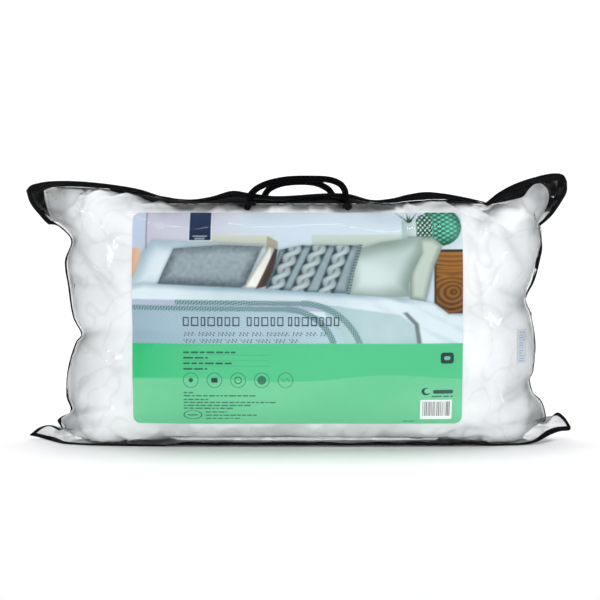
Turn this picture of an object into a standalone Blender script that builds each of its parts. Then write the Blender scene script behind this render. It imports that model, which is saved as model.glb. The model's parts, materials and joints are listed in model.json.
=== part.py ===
"""A bed pillow packed in its clear carry bag, standing upright on its long edge.

Inside out: fibre filling, cotton cover in two halves with a piped seam and a care label, a loose printed
card, and a two-panel clear film bag with a black bound seam, a zipped black gusset along the top and two
cord handles. Metres, +X right, -Y front, +Z up, origin under the middle of the bag.
"""

import math

import bmesh
import bpy
from mathutils import Vector

# Bag outline, outer edge of the bound seam: (x, z) along the top and bottom, (z, x) up the sides.
TOP_EDGE = (
    (-0.395, 0.3618), (-0.386, 0.3708), (-0.359, 0.3753), (-0.304, 0.3743), (-0.236, 0.3653),
    (-0.203, 0.3551), (-0.159, 0.3503), (-0.097, 0.3593), (-0.033, 0.3548), (0.038, 0.3568),
    (0.102, 0.3503), (0.178, 0.3593), (0.230, 0.3533), (0.268, 0.3463), (0.311, 0.3703),
    (0.340, 0.3821), (0.366, 0.3869), (0.3835, 0.3793),
)
BOTTOM_EDGE = (
    (-0.395, 0.0060), (-0.372, 0.0020), (-0.345, 0.0009), (-0.310, 0.0009), (0.000, 0.0009),
    (0.280, 0.0009), (0.320, 0.0012), (0.358, 0.0060), (0.395, 0.0187),
)
LEFT_EDGE = (
    (0.0060, -0.395), (0.018, -0.382), (0.031, -0.356), (0.052, -0.342), (0.100, -0.338),
    (0.153, -0.328), (0.225, -0.336), (0.290, -0.342), (0.313, -0.360), (0.335, -0.382),
    (0.3618, -0.395),
)
RIGHT_EDGE = (
    (0.0187, 0.395), (0.033, 0.386), (0.046, 0.364), (0.066, 0.348), (0.099, 0.340),
    (0.141, 0.342), (0.203, 0.330), (0.263, 0.346), (0.305, 0.352), (0.328, 0.366),
    (0.346, 0.378), (0.360, 0.384), (0.3793, 0.3835),
)

# Pillow outline, the seam line of its cover, in the same form.
PILLOW_TOP = (
    (-0.344, 0.3463), (-0.300, 0.3373), (-0.200, 0.3313), (0.000, 0.3303), (0.200, 0.3313),
    (0.300, 0.3353), (0.343, 0.3543),
)
PILLOW_BOTTOM = (
    (-0.336, 0.0180), (-0.300, 0.0088), (-0.250, 0.0072), (0.240, 0.0072), (0.300, 0.0100),
    (0.340, 0.0250),
)
PILLOW_LEFT = ((0.018, -0.336), (0.054, -0.324), (0.155, -0.311), (0.290, -0.326), (0.3463, -0.344))
PILLOW_RIGHT = ((0.025, 0.340), (0.072, 0.326), (0.203, 0.313), (0.300, 0.332), (0.3543, 0.343))

COLUMNS = 26  # panel divisions along X
ROWS = 13  # panel divisions up Z
FULLNESS_X = 4.0
FULLNESS_Z = 3.0
BAG_WIDTH, BAG_HEIGHT = 0.790, 0.360  # between the ears' tips
EAR_FLAT, EAR_FULL = 0.010, 0.060  # distances from an ear's tip where it starts and ends to fill out
BAG_BULGE = 0.1000  # half thickness of the bag at its fullest
PILLOW_BULGE = 0.0925
PILLOW_WIDTH, PILLOW_HEIGHT = 0.670, 0.325
CORNER_THIN, CORNER_FULL = -0.030, 0.070
BAG_SPAN = (-0.872, 0.980)  # where the bulge curve is cut by the base and by the top seams
PILLOW_SPAN = (-0.860, 1.000)
EDGE_GAP = 0.0015  # half gap between the two film panels where they lie flat
PILLOW_EDGE = 0.0025
FILLING_INSET = 0.0095  # the filling ends this far inside the cover's seam
FILLING_DROP = 0.0055  # and stays this far below the cover's outer face

GUSSET_SETBACK = 0.0032  # the gusset starts this far behind the panel it is sewn to
GUSSET_LEAST = 0.0055  # and reaches into the ears as far as the panels are this deep

FILM_THICKNESS = 0.0008
COVER_THICKNESS = 0.0012
GUSSET_THICKNESS = 0.0007
CLEARANCE = 0.0004
BASE_HEIGHT = 0.0009  # middle of the flat binding above the floor
SEAM_LIFT = 0.0028  # the front panel's lower edge passes this far above the binding
BASE_INSET = 0.006  # share of its width by which the base is shorter at each end
SEAM_INSET = 0.001  # share of a panel's width left free beside the binding

BINDING_WIDTH = 0.0080
BINDING_THICKNESS = 0.0014
PIPING_RADIUS = 0.0020

CARD_LEFT, CARD_RIGHT = -0.2337, 0.2263
CARD_BOTTOM, CARD_TOP = 0.0356, 0.3307
CARD_THICKNESS = 0.0005
LAYER_OFFSET = -0.0034  # the card and the label lie this far inside the film
LABEL_LEFT, LABEL_RIGHT = 0.300, 0.318
LABEL_BOTTOM, LABEL_TOP = 0.1170, 0.1655

ZIP_HEIGHT = 0.3423  # middle of the zip's teeth
ZIP_HALF_LENGTH = 0.240
TAPE_HALF_LENGTH = 0.248
TAPE_INNER, TAPE_OUTER = 0.0029, 0.0130
TAPE_THICKNESS = 0.0006
COIL_INNER, COIL_OUTER = 0.0006, 0.0026
COIL_HEIGHT = 0.0022
SLIDER_X = 0.2325  # zip closed, at the right-hand end
SLIDER_LENGTH, SLIDER_WIDTH = 0.0110, 0.0086
PLATE_THICKNESS = 0.0010
WEB_THICKNESS = 0.0006
BRIDGE_LENGTH, BRIDGE_WIDTH, BRIDGE_THICKNESS = 0.0076, 0.0016, 0.0010
BRIDGE_OPENING = 0.0022
PULL_LENGTH, PULL_WIDTH, PULL_THICKNESS = 0.0260, 0.0072, 0.0014
PULL_EYE_LENGTH, PULL_EYE_WIDTH = 0.0046, 0.0034
STOP_LENGTH = 0.0030

HANDLE_RADIUS = 0.0040
HANDLE_Y = 0.0325
FRONT_PIVOT_Z, BACK_PIVOT_Z = 0.3523, 0.3503
# Centre line of each handle from its left foot to its right foot: (x, lean along +Y, rise).
FRONT_HANDLE = (
    (-0.0714, 0.0000, 0.0000), (-0.0690, 0.0000, 0.0050), (-0.0610, 0.0040, 0.0125),
    (-0.0450, 0.0140, 0.0200), (-0.0180, 0.0200, 0.0255), (0.0180, 0.0210, 0.0265),
    (0.0420, 0.0190, 0.0250), (0.0570, 0.0110, 0.0190), (0.0635, 0.0020, 0.0100),
    (0.0645, 0.0000, 0.0045), (0.0648, 0.0000, 0.0000),
)
BACK_HANDLE = (
    (-0.0530, 0.0000, 0.0000), (-0.0515, 0.0000, 0.0055), (-0.0445, 0.0050, 0.0145),
    (-0.0270, 0.0130, 0.0220), (0.0000, 0.0165, 0.0248), (0.0230, 0.0140, 0.0228),
    (0.0400, 0.0060, 0.0150), (0.0475, 0.0000, 0.0058), (0.0490, 0.0000, 0.0000),
)
HANDLE_POINTS = 30
PATCH_WIDTH = 0.0180
PATCH_SPAN = (0.960, 0.988)  # how far up the bag panel a handle patch reaches
PATCH_THICKNESS = 0.0010

BLACK = (0.010, 0.011, 0.013)


# ---------------------------------------------------------------- curves and surfaces


def lerp(a, b, t):
    return a + (b - a) * t


def smooth(start, end, value):
    """0 before start, 1 after end, a soft step between."""
    t = min(1.0, max(0.0, (value - start) / (end - start)))
    return t * t * (3 - 2 * t)


def spline(points, at):
    """Height of a smooth curve through (position, height) points, positions rising."""
    if at <= points[0][0]:
        return points[0][1]
    if at >= points[-1][0]:
        return points[-1][1]
    i = max(k for k in range(len(points) - 1) if points[k][0] <= at)

    def slope(k):
        a, b = points[max(0, k - 1)], points[min(len(points) - 1, k + 1)]
        return (b[1] - a[1]) / (b[0] - a[0])

    (x0, y0), (x1, y1) = points[i], points[i + 1]
    span = x1 - x0
    t = (at - x0) / span
    return (
        (2 * t**3 - 3 * t**2 + 1) * y0
        + (t**3 - 2 * t**2 + t) * span * slope(i)
        + (3 * t**2 - 2 * t**3) * y1
        + (t**3 - t**2) * span * slope(i + 1)
    )


def in_ear(x):
    """0 over the length that stands on the floor, 1 in the corner ears beyond it."""
    return smooth(0.29, 0.36, abs(x))


class Outline:
    """A four-sided outline in the XZ plane, and the surface spanned inside it."""

    def __init__(self, top, bottom, left, right, inset=0.0, flat_base=False):
        self.sides = {"top": top, "bottom": bottom, "left": left, "right": right}
        self.inset = inset
        self.flat_base = flat_base
        self.corners = [[self.edge("bottom", s) for s in (0, 1)], [self.edge("top", s) for s in (0, 1)]]

    def outer(self, side, s):
        points = self.sides[side]
        along = lerp(points[0][0], points[-1][0], s)
        across = spline(points, along)
        if self.flat_base and side == "bottom":
            across = max(across, BASE_HEIGHT)
        return Vector((along, across)) if side in ("top", "bottom") else Vector((across, along))

    def outward(self, side, s):
        """Direction out of the outline, turning to the diagonal near a corner."""
        turn = smooth(0.110, 0.0, min(s, 1 - s))
        sign = -1 if s < 0.5 else 1
        if side in ("top", "bottom"):
            return Vector((sign * turn, 1 if side == "top" else -1))
        return Vector((-1 if side == "left" else 1, sign * turn))

    def edge(self, side, s):
        return self.outer(side, s) - self.inset * self.outward(side, s)

    def point(self, u, v):
        """Point (x, z) of the surface, u from left to right and v from bottom to top."""
        low, high = self.corners
        return (
            (1 - v) * self.edge("bottom", u)
            + v * self.edge("top", u)
            + (1 - u) * self.edge("left", v)
            + u * self.edge("right", v)
            - (1 - v) * ((1 - u) * low[0] + u * low[1])
            - v * ((1 - u) * high[0] + u * high[1])
        )


def crown(u, v, span):
    """Share of its full depth that a stuffed panel has at (u, v): 1 in the middle, 0 at a closed seam."""
    across = 1 - abs(2 * u - 1) ** FULLNESS_X
    up = 1 - abs(lerp(span[0], span[1], v)) ** FULLNESS_Z
    return math.sqrt(max(0.0, across * up))


def bag_depth(u, v):
    """How far a film panel stands off the middle plane. It lies flat in the corner ears."""
    from_corner = math.hypot(min(u, 1 - u) * BAG_WIDTH, min(v, 1 - v) * BAG_HEIGHT)
    return EDGE_GAP + BAG_BULGE * smooth(EAR_FLAT, EAR_FULL, from_corner) * crown(u, v, BAG_SPAN)


def pillow_depth(u, v, height=None):
    """How far a cover panel stands off the middle plane, thinner towards its corners."""
    from_corner = math.hypot(min(u, 1 - u) * PILLOW_WIDTH, min(v, 1 - v) * PILLOW_HEIGHT)
    corner = smooth(CORNER_THIN, CORNER_FULL, from_corner)
    return PILLOW_EDGE + (height or PILLOW_BULGE) * corner * crown(u, v, PILLOW_SPAN)


BAG = Outline(TOP_EDGE, BOTTOM_EDGE, LEFT_EDGE, RIGHT_EDGE, flat_base=True)
PILLOW = Outline(PILLOW_TOP, PILLOW_BOTTOM, PILLOW_LEFT, PILLOW_RIGHT)
FILLING = Outline(PILLOW_TOP, PILLOW_BOTTOM, PILLOW_LEFT, PILLOW_RIGHT, inset=FILLING_INSET)


def inside_binding(u, v):
    """Point (x, z) of the panel inside the binding. Along the flat base the panel reaches the edge."""
    across = BINDING_WIDTH / BAG_WIDTH
    up = BINDING_WIDTH / BAG_HEIGHT
    wide = lerp(across, 1 - across, u)
    return BAG.point(wide, lerp(up * in_ear(BAG.outer("bottom", wide).x), 1 - up, v))


def bag_point(u, v, side, off=0.0):
    """A point of the bag's front (side -1) or back (side 1) panel, moved off it by a distance."""
    x, z = inside_binding(u, v)
    return Vector((x, side * (bag_depth(u, v) + off), z))


def pillow_point(u, v, side, off=0.0):
    x, z = PILLOW.point(u, v)
    return Vector((x, side * (pillow_depth(u, v) + off), z))


def front_layer(x, z, off):
    """A point in the space between the pillow and the film, from its place seen from the front."""
    u, v = 0.5, 0.5
    for _ in range(4):
        left, right = inside_binding(0, v).x, inside_binding(1, v).x
        u = (x - left) / (right - left)
        low, high = inside_binding(u, 0).y, inside_binding(u, 1).y
        v = (z - low) / (high - low)
    return Vector((x, -(bag_depth(u, v) + off), z))


def stations(count):
    """Positions from 0 to 1, closer together towards both ends."""
    return [0.5 - 0.5 * math.cos(math.pi * i / count) for i in range(count + 1)]


# ---------------------------------------------------------------- making objects


def clear_scene():
    for ob in list(bpy.data.objects):
        bpy.data.objects.remove(ob)


def new_collection(name):
    collection = bpy.data.collections.new(name)
    bpy.context.scene.collection.children.link(collection)
    return collection


def material(name, colour, roughness, metallic=0.0, alpha=1.0):
    mat = bpy.data.materials.new(name)
    mat.use_nodes = True
    shader = mat.node_tree.nodes["Principled BSDF"]
    shader.inputs["Base Color"].default_value = (*colour, 1)
    shader.inputs["Roughness"].default_value = roughness
    shader.inputs["Metallic"].default_value = metallic
    shader.inputs["Alpha"].default_value = alpha
    return mat


def mesh_object(bm, name, mat, collection):
    mesh = bpy.data.meshes.new(name)
    bm.to_mesh(mesh)
    bm.free()
    ob = bpy.data.objects.new(name, mesh)
    collection.objects.link(ob)
    mesh.materials.append(mat)
    return ob


def sheet(name, us, vs, place, thickness, mat, collection, outward):
    """A grid laid over a surface and thickened inwards; outward is the side its faces point to."""
    bm = bmesh.new()
    bmesh.ops.create_grid(bm, x_segments=len(us) - 1, y_segments=len(vs) - 1, size=0.5)
    for vert in bm.verts:
        column = round((vert.co.x + 0.5) * (len(us) - 1))
        row = round((vert.co.y + 0.5) * (len(vs) - 1))
        vert.co = place(us[column], vs[row])
    bm.normal_update()
    facing = sum((face.normal * face.calc_area() for face in bm.faces), Vector())
    if facing.dot(outward) < 0:
        bmesh.ops.reverse_faces(bm, faces=bm.faces)
    ob = mesh_object(bm, name, mat, collection)
    ob.data.shade_smooth()
    solidify = ob.modifiers.new("thickness", "SOLIDIFY")
    solidify.thickness = thickness
    solidify.offset = -1
    return ob


def band(name, rings, thickness, mat, collection):
    """A closed strip between two loops of points, thickened on both sides."""
    outer, inner = rings
    bm = bmesh.new()
    bmesh.ops.create_cone(bm, cap_ends=False, segments=len(outer), radius1=1, radius2=1, depth=2)
    for vert in bm.verts:
        angle = math.atan2(-vert.co.x, vert.co.y) % math.tau
        index = round(angle / math.tau * len(outer)) % len(outer)
        vert.co = outer[index] if vert.co.z > 0 else inner[index]
    ob = mesh_object(bm, name, mat, collection)
    solidify = ob.modifiers.new("thickness", "SOLIDIFY")
    solidify.thickness = thickness
    solidify.offset = 0
    return ob


def box(name, low, high, mat, collection, bevel=0.0):
    bm = bmesh.new()
    bmesh.ops.create_cube(bm, size=1)
    middle = (Vector(low) + Vector(high)) / 2
    size = Vector(high) - Vector(low)
    for vert in bm.verts:
        vert.co = Vector(a * b for a, b in zip(vert.co, size))
    ob = mesh_object(bm, name, mat, collection)
    ob.location = middle
    if bevel:
        rounding = ob.modifiers.new("rounding", "BEVEL")
        rounding.width = bevel
        rounding.segments = 1
    return ob


def union(ob, tools):
    for tool in tools:
        join = ob.modifiers.new(f"join {tool.name}", "BOOLEAN")
        join.operation = "UNION"
        join.object = tool


def tube(name, points, radius, mat, collection, origin=(0, 0, 0), cyclic=False, sides=2):
    curve = bpy.data.curves.new(name, "CURVE")
    curve.dimensions = "3D"
    curve.bevel_depth = radius
    curve.bevel_resolution = sides
    curve.use_fill_caps = not cyclic
    curve.render_resolution_u = 0
    path = curve.splines.new("POLY")
    path.points.add(len(points) - 1)
    for knot, point in zip(path.points, points):
        knot.co = (*(Vector(point) - Vector(origin)), 1)
    path.use_cyclic_u = cyclic
    ob = bpy.data.objects.new(name, curve)
    ob.location = origin
    collection.objects.link(ob)
    curve.materials.append(mat)
    return ob


def smooth_path(points, count):
    """Evenly counted points on a smooth curve through the route's points."""
    lengths = [0.0]
    for a, b in zip(points, points[1:]):
        lengths.append(lengths[-1] + (Vector(b) - Vector(a)).length)
    tables = [[(d, p[axis]) for d, p in zip(lengths, points)] for axis in range(3)]
    steps = (lengths[-1] * i / (count - 1) for i in range(count))
    return [Vector(spline(table, d) for table in tables) for d in steps]


# ---------------------------------------------------------------- the pillow


def make_pillow(parts):
    us, vs = stations(COLUMNS), stations(ROWS)
    filling = material("polyester fibre filling", (0.86, 0.86, 0.85), 0.95)
    cotton = material("white cotton cover", (0.90, 0.91, 0.92), 0.85)
    satin = material("white satin piping", (0.92, 0.92, 0.93), 0.45)
    tape = material("printed label tape", (0.88, 0.90, 0.93), 0.60)

    # The filling is one solid: a front sheet carried through to the back.
    bm = bmesh.new()
    bmesh.ops.create_grid(bm, x_segments=COLUMNS, y_segments=ROWS, size=0.5)
    made = bmesh.ops.extrude_face_region(bm, geom=bm.faces[:])["geom"]
    behind = {g for g in made if isinstance(g, bmesh.types.BMVert)}
    for vert in bm.verts:
        u = us[round((vert.co.x + 0.5) * COLUMNS)]
        v = vs[round((vert.co.y + 0.5) * ROWS)]
        x, z = FILLING.point(u, v)
        depth = pillow_depth(u, v, PILLOW_BULGE - FILLING_DROP)
        vert.co = Vector((x, depth if vert in behind else -depth, z))
    bmesh.ops.recalc_face_normals(bm, faces=bm.faces)
    core = mesh_object(bm, "fibre_fill", filling, parts)
    core.data.shade_smooth()

    # Each cover half starts at the middle of the base, so a row of the grid lies flat under the pillow.
    base_rows = [-1.0] + vs
    for name, side in (("cover_front", -1), ("cover_back", 1)):

        def cover(u, v, side=side):
            if v >= 0:
                return pillow_point(u, v, side)
            point = pillow_point(u, 0, side)
            point.y = side * CLEARANCE
            return point

        sheet(name, us, base_rows, cover, COVER_THICKNESS, cotton, parts, Vector((0, side, 0)))

    # The piping runs just outside the seam line.
    gap = PIPING_RADIUS + 3 * CLEARANCE
    rim = Outline(PILLOW_TOP, PILLOW_BOTTOM, PILLOW_LEFT, PILLOW_RIGHT, inset=-gap)
    loop = [rim.edge(side, s) for side, s in loop_stations(us, vs)]
    tube(
        "cover_piping", [(p.x, 0, p.y) for p in loop], PIPING_RADIUS, satin, parts, cyclic=True, sides=1
    )

    # The label is caught in the right-hand seam and lies over the front of the cover.
    label_us = [lerp(LABEL_LEFT, LABEL_RIGHT, i / 3) for i in range(4)]
    label_vs = [lerp(LABEL_BOTTOM, LABEL_TOP, i / 4) for i in range(5)]
    sheet(
        "care_label", label_us, label_vs, lambda x, z: front_layer(x, z, LAYER_OFFSET), 0.0004, tape, parts,
        Vector((0, -1, 0)),
    )


def loop_stations(us, vs):
    """(side, s) round an outline: along the bottom, up the right, back along the top, down the left."""
    return (
        [("bottom", s) for s in us[:-1]]
        + [("right", s) for s in vs[:-1]]
        + [("top", s) for s in reversed(us[1:])]
        + [("left", s) for s in reversed(vs[1:])]
    )


# ---------------------------------------------------------------- the bag


def make_card(parts):
    board = material("printed card", (0.45, 0.75, 0.60), 0.35)
    us = [lerp(CARD_LEFT, CARD_RIGHT, i / 18) for i in range(19)]
    vs = [lerp(CARD_BOTTOM, CARD_TOP, i / 14) for i in range(15)]
    sheet(
        "insert_card", us, vs, lambda x, z: front_layer(x, z, LAYER_OFFSET), CARD_THICKNESS, board, parts,
        Vector((0, -1, 0)),
    )


def make_film(parts):
    film = material("clear vinyl film", (0.80, 0.82, 0.84), 0.12, alpha=0.35)
    us = [lerp(SEAM_INSET, 1 - SEAM_INSET, s) for s in stations(COLUMNS)]
    vs = [lerp(0, 1 - SEAM_INSET, s) for s in stations(ROWS)]

    def front(u, v):
        point = bag_point(u, v, -1, FILM_THICKNESS)
        point.z += SEAM_LIFT * (1 - smooth(0.0, 0.08, v))
        return point

    def back(u, v):
        if v <= 0:
            u = lerp(BASE_INSET, 1 - BASE_INSET, u)
        point = bag_point(u, v, 1, FILM_THICKNESS) if v >= 0 else bag_point(u, 0, -1, -3 * CLEARANCE)
        if v <= 0:
            point.z += lerp(-BASE_HEIGHT, 3 * CLEARANCE, smooth(0.280, 0.295, abs(point.x)))
        return point

    sheet("film_front", us, vs, front, FILM_THICKNESS, film, parts, Vector((0, -1, 0)))
    sheet("film_back", us, [-1.0] + vs, back, FILM_THICKNESS, film, parts, Vector((0, 1, 0)))


def binding_edges(side, s):
    """Outer and inner edge of the binding at one place on the seam."""
    v = {"bottom": 0.0, "top": 1.0}.get(side, s)
    u = {"left": 0.0, "right": 1.0}.get(side, s)
    x, z = inside_binding(u, v)
    depth = bag_depth(u, v) - EDGE_GAP
    edge = BAG.outer(side, s)
    inner = Vector((x, -depth, z))
    outer = Vector((edge.x, -depth, edge.y))
    if side == "bottom":
        # Under the bag the binding lies flat, turned out towards the front.
        flat = 1 - in_ear(x)
        inner.y -= flat * (EDGE_GAP + 2 * CLEARANCE)
        outer.y = inner.y - flat * BINDING_WIDTH
    return outer, inner


def make_binding(parts):
    cloth = material("black bias binding", BLACK, 0.80)
    us, vs = stations(COLUMNS), stations(ROWS)
    edges = [binding_edges(side, s) for side, s in loop_stations(us, vs)]
    rings = [[e[0] for e in edges], [e[1] for e in edges]]
    band("binding_perimeter", rings, BINDING_THICKNESS, cloth, parts)

    top = [s for s in us if bag_depth(s, 1) > EDGE_GAP + BINDING_THICKNESS]

    def back_top(s, across):
        outer, inner = binding_edges("top", s)
        point = inner.lerp(outer, across)
        point.y = BINDING_THICKNESS / 2 - point.y
        return point

    sheet(
        "binding_back_top", top, [0.0, 1.0], back_top, BINDING_THICKNESS, cloth, parts, Vector((0, 1, 0))
    )


def make_gusset(parts):
    """Two black strips from the top seams down to the zip, folded down together in the corner ears."""
    cloth = material("black non-woven gusset", BLACK, 0.90)
    columns = [s for s in stations(COLUMNS) if bag_depth(s, 1) > GUSSET_LEAST]
    bottom = ZIP_HEIGHT + TAPE_THICKNESS / 2 + CLEARANCE + GUSSET_THICKNESS
    for name, side in (("gusset_front", -1), ("gusset_back", 1)):

        def strip(s, across, side=side):
            x, z = inside_binding(s, 1)
            depth = bag_depth(s, 1.0)
            ear = smooth(0.255, 0.300, abs(x))
            tip = smooth(0.345, 0.372, abs(x))
            start = Vector((x, side * (depth - GUSSET_SETBACK), z + 0.0020))
            low = lerp(bottom, z - 0.0040 - 0.0140 * tip, ear)
            end = Vector((x, side * lerp(0.0062, 0.0007, ear), low))
            return start.lerp(end, across)

        sheet(name, columns, [0.0, 0.5, 1.0], strip, GUSSET_THICKNESS, cloth, parts, Vector((0, 0, 1)))


def make_zip(parts, cutters):
    tape = material("black zip tape", BLACK, 0.85)
    nylon = material("black nylon zip coil", (0.016, 0.016, 0.018), 0.35)
    zinc = material("black enamelled zinc", (0.022, 0.022, 0.025), 0.30, 0.6)
    half_coil, half_tape = COIL_HEIGHT / 2, TAPE_THICKNESS / 2
    for name, side in (("front", -1), ("back", 1)):
        ys = sorted((side * TAPE_INNER, side * TAPE_OUTER))
        low = (-TAPE_HALF_LENGTH, ys[0], ZIP_HEIGHT - half_tape)
        box(f"zip_tape_{name}", low, (TAPE_HALF_LENGTH, ys[1], ZIP_HEIGHT + half_tape), tape, parts)
        ys = sorted((side * COIL_INNER, side * COIL_OUTER))
        low = (-ZIP_HALF_LENGTH, ys[0], ZIP_HEIGHT - half_coil)
        high = (ZIP_HALF_LENGTH, ys[1], ZIP_HEIGHT + half_coil)
        box(f"zip_coil_{name}", low, high, nylon, parts, bevel=0.0004)
    for name, side in (("left", -1), ("right", 1)):
        near = side * (ZIP_HALF_LENGTH + CLEARANCE)
        xs = sorted((near, near + side * STOP_LENGTH))
        low = (xs[0], -COIL_OUTER, ZIP_HEIGHT - half_coil)
        box(f"zip_stop_{name}", low, (xs[1], COIL_OUTER, ZIP_HEIGHT + half_coil), zinc, parts, bevel=0.0003)

    # Slider: two plates joined by a thin web that runs between the coils, with a bridge on top.
    x0, x1 = SLIDER_X - SLIDER_LENGTH / 2, SLIDER_X + SLIDER_LENGTH / 2
    y = SLIDER_WIDTH / 2
    inside = half_coil + CLEARANCE
    floor = ZIP_HEIGHT - inside
    roof = ZIP_HEIGHT + inside
    slider = box(
        "zip_slider", (x0, -y, floor - PLATE_THICKNESS), (x1, y, floor), zinc, parts, bevel=0.0003
    )
    half_web, half_bridge = WEB_THICKNESS / 2, BRIDGE_WIDTH / 2
    top_plate = roof + PLATE_THICKNESS
    bridge_top = top_plate + BRIDGE_OPENING
    bx0, bx1 = SLIDER_X - BRIDGE_LENGTH / 2, SLIDER_X + BRIDGE_LENGTH / 2
    sink = 0.0003
    pieces = [
        box("slider_top_plate", (x0, -y, roof), (x1, y, top_plate), zinc, cutters, bevel=0.0003),
        box(
            "slider_web", (x0 + 0.001, -half_web, floor - sink), (x1 - 0.001, half_web, roof + sink), zinc,
            cutters,
        ),
        box(
            "slider_bridge_left", (bx0, -half_bridge, top_plate - sink),
            (bx0 + BRIDGE_THICKNESS, half_bridge, bridge_top + sink), zinc, cutters,
        ),
        box(
            "slider_bridge_right", (bx1 - BRIDGE_THICKNESS, -half_bridge, top_plate - sink),
            (bx1, half_bridge, bridge_top + sink), zinc, cutters,
        ),
        box(
            "slider_bridge_top", (bx0 - 0.0001, -half_bridge - 0.0001, bridge_top),
            (bx1 + 0.0001, half_bridge + 0.0001, bridge_top + BRIDGE_THICKNESS), zinc, cutters,
        ),
    ]
    union(slider, pieces)

    # Pull: a tab with an eye round the bridge; its end bar lies under the bridge, on the hinge line.
    pivot = Vector((SLIDER_X, 0, top_plate + BRIDGE_OPENING / 2))
    carrier = bpy.data.objects.new("pull_pivot", None)
    carrier.location = pivot
    cutters.objects.link(carrier)
    bar = PULL_THICKNESS / 2
    pull = box(
        "zip_pull", (-PULL_LENGTH + bar, -PULL_WIDTH / 2, -bar), (bar, PULL_WIDTH / 2, bar), zinc, parts,
        bevel=0.0003,
    )
    eye_end = -bar - PULL_EYE_LENGTH
    eye = box(
        "pull_eye_cutter", (eye_end, -PULL_EYE_WIDTH / 2, -0.002), (-bar, PULL_EYE_WIDTH / 2, 0.002), zinc,
        cutters,
    )
    hole = pull.modifiers.new("eye", "BOOLEAN")
    hole.object = eye
    for ob in (pull, eye):
        ob.parent = carrier
    for ob in cutters.objects:
        ob.hide_render = True
        ob.display_type = "WIRE"


def make_handles(parts):
    cord = material("black woven cord", BLACK, 0.75)
    patch = material("black stitched patch", BLACK, 0.85)
    for name, side, route, height in (
        ("front", -1, FRONT_HANDLE, FRONT_PIVOT_Z),
        ("back", 1, BACK_HANDLE, BACK_PIVOT_Z),
    ):
        pivot = (0, side * HANDLE_Y, height)
        path = [Vector((x, side * HANDLE_Y + lean, height + rise)) for x, lean, rise in route]
        tube(f"handle_{name}", smooth_path(path, HANDLE_POINTS), HANDLE_RADIUS, cord, parts, origin=pivot)
        for end, foot in (("left", route[0][0]), ("right", route[-1][0])):
            left, right = inside_binding(0, 1).x, inside_binding(1, 1).x
            middle = (foot - left) / (right - left)
            half = PATCH_WIDTH / 2 / (right - left)
            us = [middle - half, middle, middle + half]
            vs = [lerp(PATCH_SPAN[0], PATCH_SPAN[1], i / 3) for i in range(4)]
            off = FILM_THICKNESS + 5 * CLEARANCE + PATCH_THICKNESS
            sheet(
                f"handle_patch_{name}_{end}", us, vs, lambda u, v: bag_point(u, v, side, off),
                PATCH_THICKNESS, patch, parts, Vector((0, side, 0)),
            )


def main():
    clear_scene()
    parts = new_collection("bagged_bed_pillow")
    cutters = new_collection("cutters")
    make_pillow(parts)
    make_card(parts)
    make_film(parts)
    make_binding(parts)
    make_gusset(parts)
    make_zip(parts, cutters)
    make_handles(parts)


main()
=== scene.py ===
"""A bed pillow in its clear carry bag, standing on its long edge.

A white cotton pillow fills a bag of clear film with black bound seams, a zipped gusset along the top and
two cord handles. A printed card lies behind the front film. Metres, +X right, -Y front, +Z up.
"""
import json
import math

import bpy
import numpy as np
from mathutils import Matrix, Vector, noise
from mathutils.bvhtree import BVHTree

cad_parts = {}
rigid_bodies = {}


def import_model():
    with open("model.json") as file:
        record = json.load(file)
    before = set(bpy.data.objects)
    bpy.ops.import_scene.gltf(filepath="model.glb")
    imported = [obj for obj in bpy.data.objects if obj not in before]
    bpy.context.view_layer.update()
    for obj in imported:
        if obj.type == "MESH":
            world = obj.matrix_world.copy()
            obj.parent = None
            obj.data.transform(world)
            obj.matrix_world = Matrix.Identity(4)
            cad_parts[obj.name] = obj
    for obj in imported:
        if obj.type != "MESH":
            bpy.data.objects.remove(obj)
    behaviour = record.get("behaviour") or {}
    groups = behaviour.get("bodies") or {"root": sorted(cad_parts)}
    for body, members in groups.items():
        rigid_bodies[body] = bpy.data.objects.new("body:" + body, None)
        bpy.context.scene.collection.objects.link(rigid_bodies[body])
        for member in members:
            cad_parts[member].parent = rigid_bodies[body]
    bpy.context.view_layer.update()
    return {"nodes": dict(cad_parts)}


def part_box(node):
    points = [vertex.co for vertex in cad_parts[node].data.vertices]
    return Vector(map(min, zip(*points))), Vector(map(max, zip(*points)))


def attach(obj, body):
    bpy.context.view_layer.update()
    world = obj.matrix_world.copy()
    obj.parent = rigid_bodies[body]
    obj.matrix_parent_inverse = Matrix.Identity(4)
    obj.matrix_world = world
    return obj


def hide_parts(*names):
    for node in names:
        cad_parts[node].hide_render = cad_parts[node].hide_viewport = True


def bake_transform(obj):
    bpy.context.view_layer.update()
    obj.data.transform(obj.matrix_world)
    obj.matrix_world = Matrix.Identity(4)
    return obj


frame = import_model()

# ---------------------------------------------------------------- sizes

# Outer edge of the bound seam, in (x, z), each side from left to right or from bottom to top.
BAG_TOP = (
    (-0.395, 0.3618), (-0.388, 0.3698), (-0.359, 0.3753), (-0.304, 0.3743), (-0.236, 0.3653),
    (-0.2027, 0.3551), (-0.159, 0.3493), (-0.128, 0.353), (-0.0968, 0.3615), (-0.072, 0.3583),
    (-0.033, 0.3541), (0.038, 0.358), (0.07, 0.3569), (0.102, 0.3487), (0.132, 0.3509),
    (0.1526, 0.356), (0.178, 0.3598), (0.203, 0.358), (0.2295, 0.3535), (0.2613, 0.3464),
    (0.2686, 0.3443), (0.2875, 0.3589), (0.3107, 0.3719), (0.3397, 0.3821), (0.3658, 0.3869),
    (0.3797, 0.3846), (0.385, 0.3748),
)
BAG_BOTTOM = (
    (-0.395, 0.006), (-0.372, 0.0016), (-0.345, 0.0009), (0.0000, 0.0009), (0.29, 0.0009),
    (0.325, 0.0014), (0.3547, 0.0084), (0.3788, 0.0122), (0.3939, 0.0136), (0.395, 0.0187),
)
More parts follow.
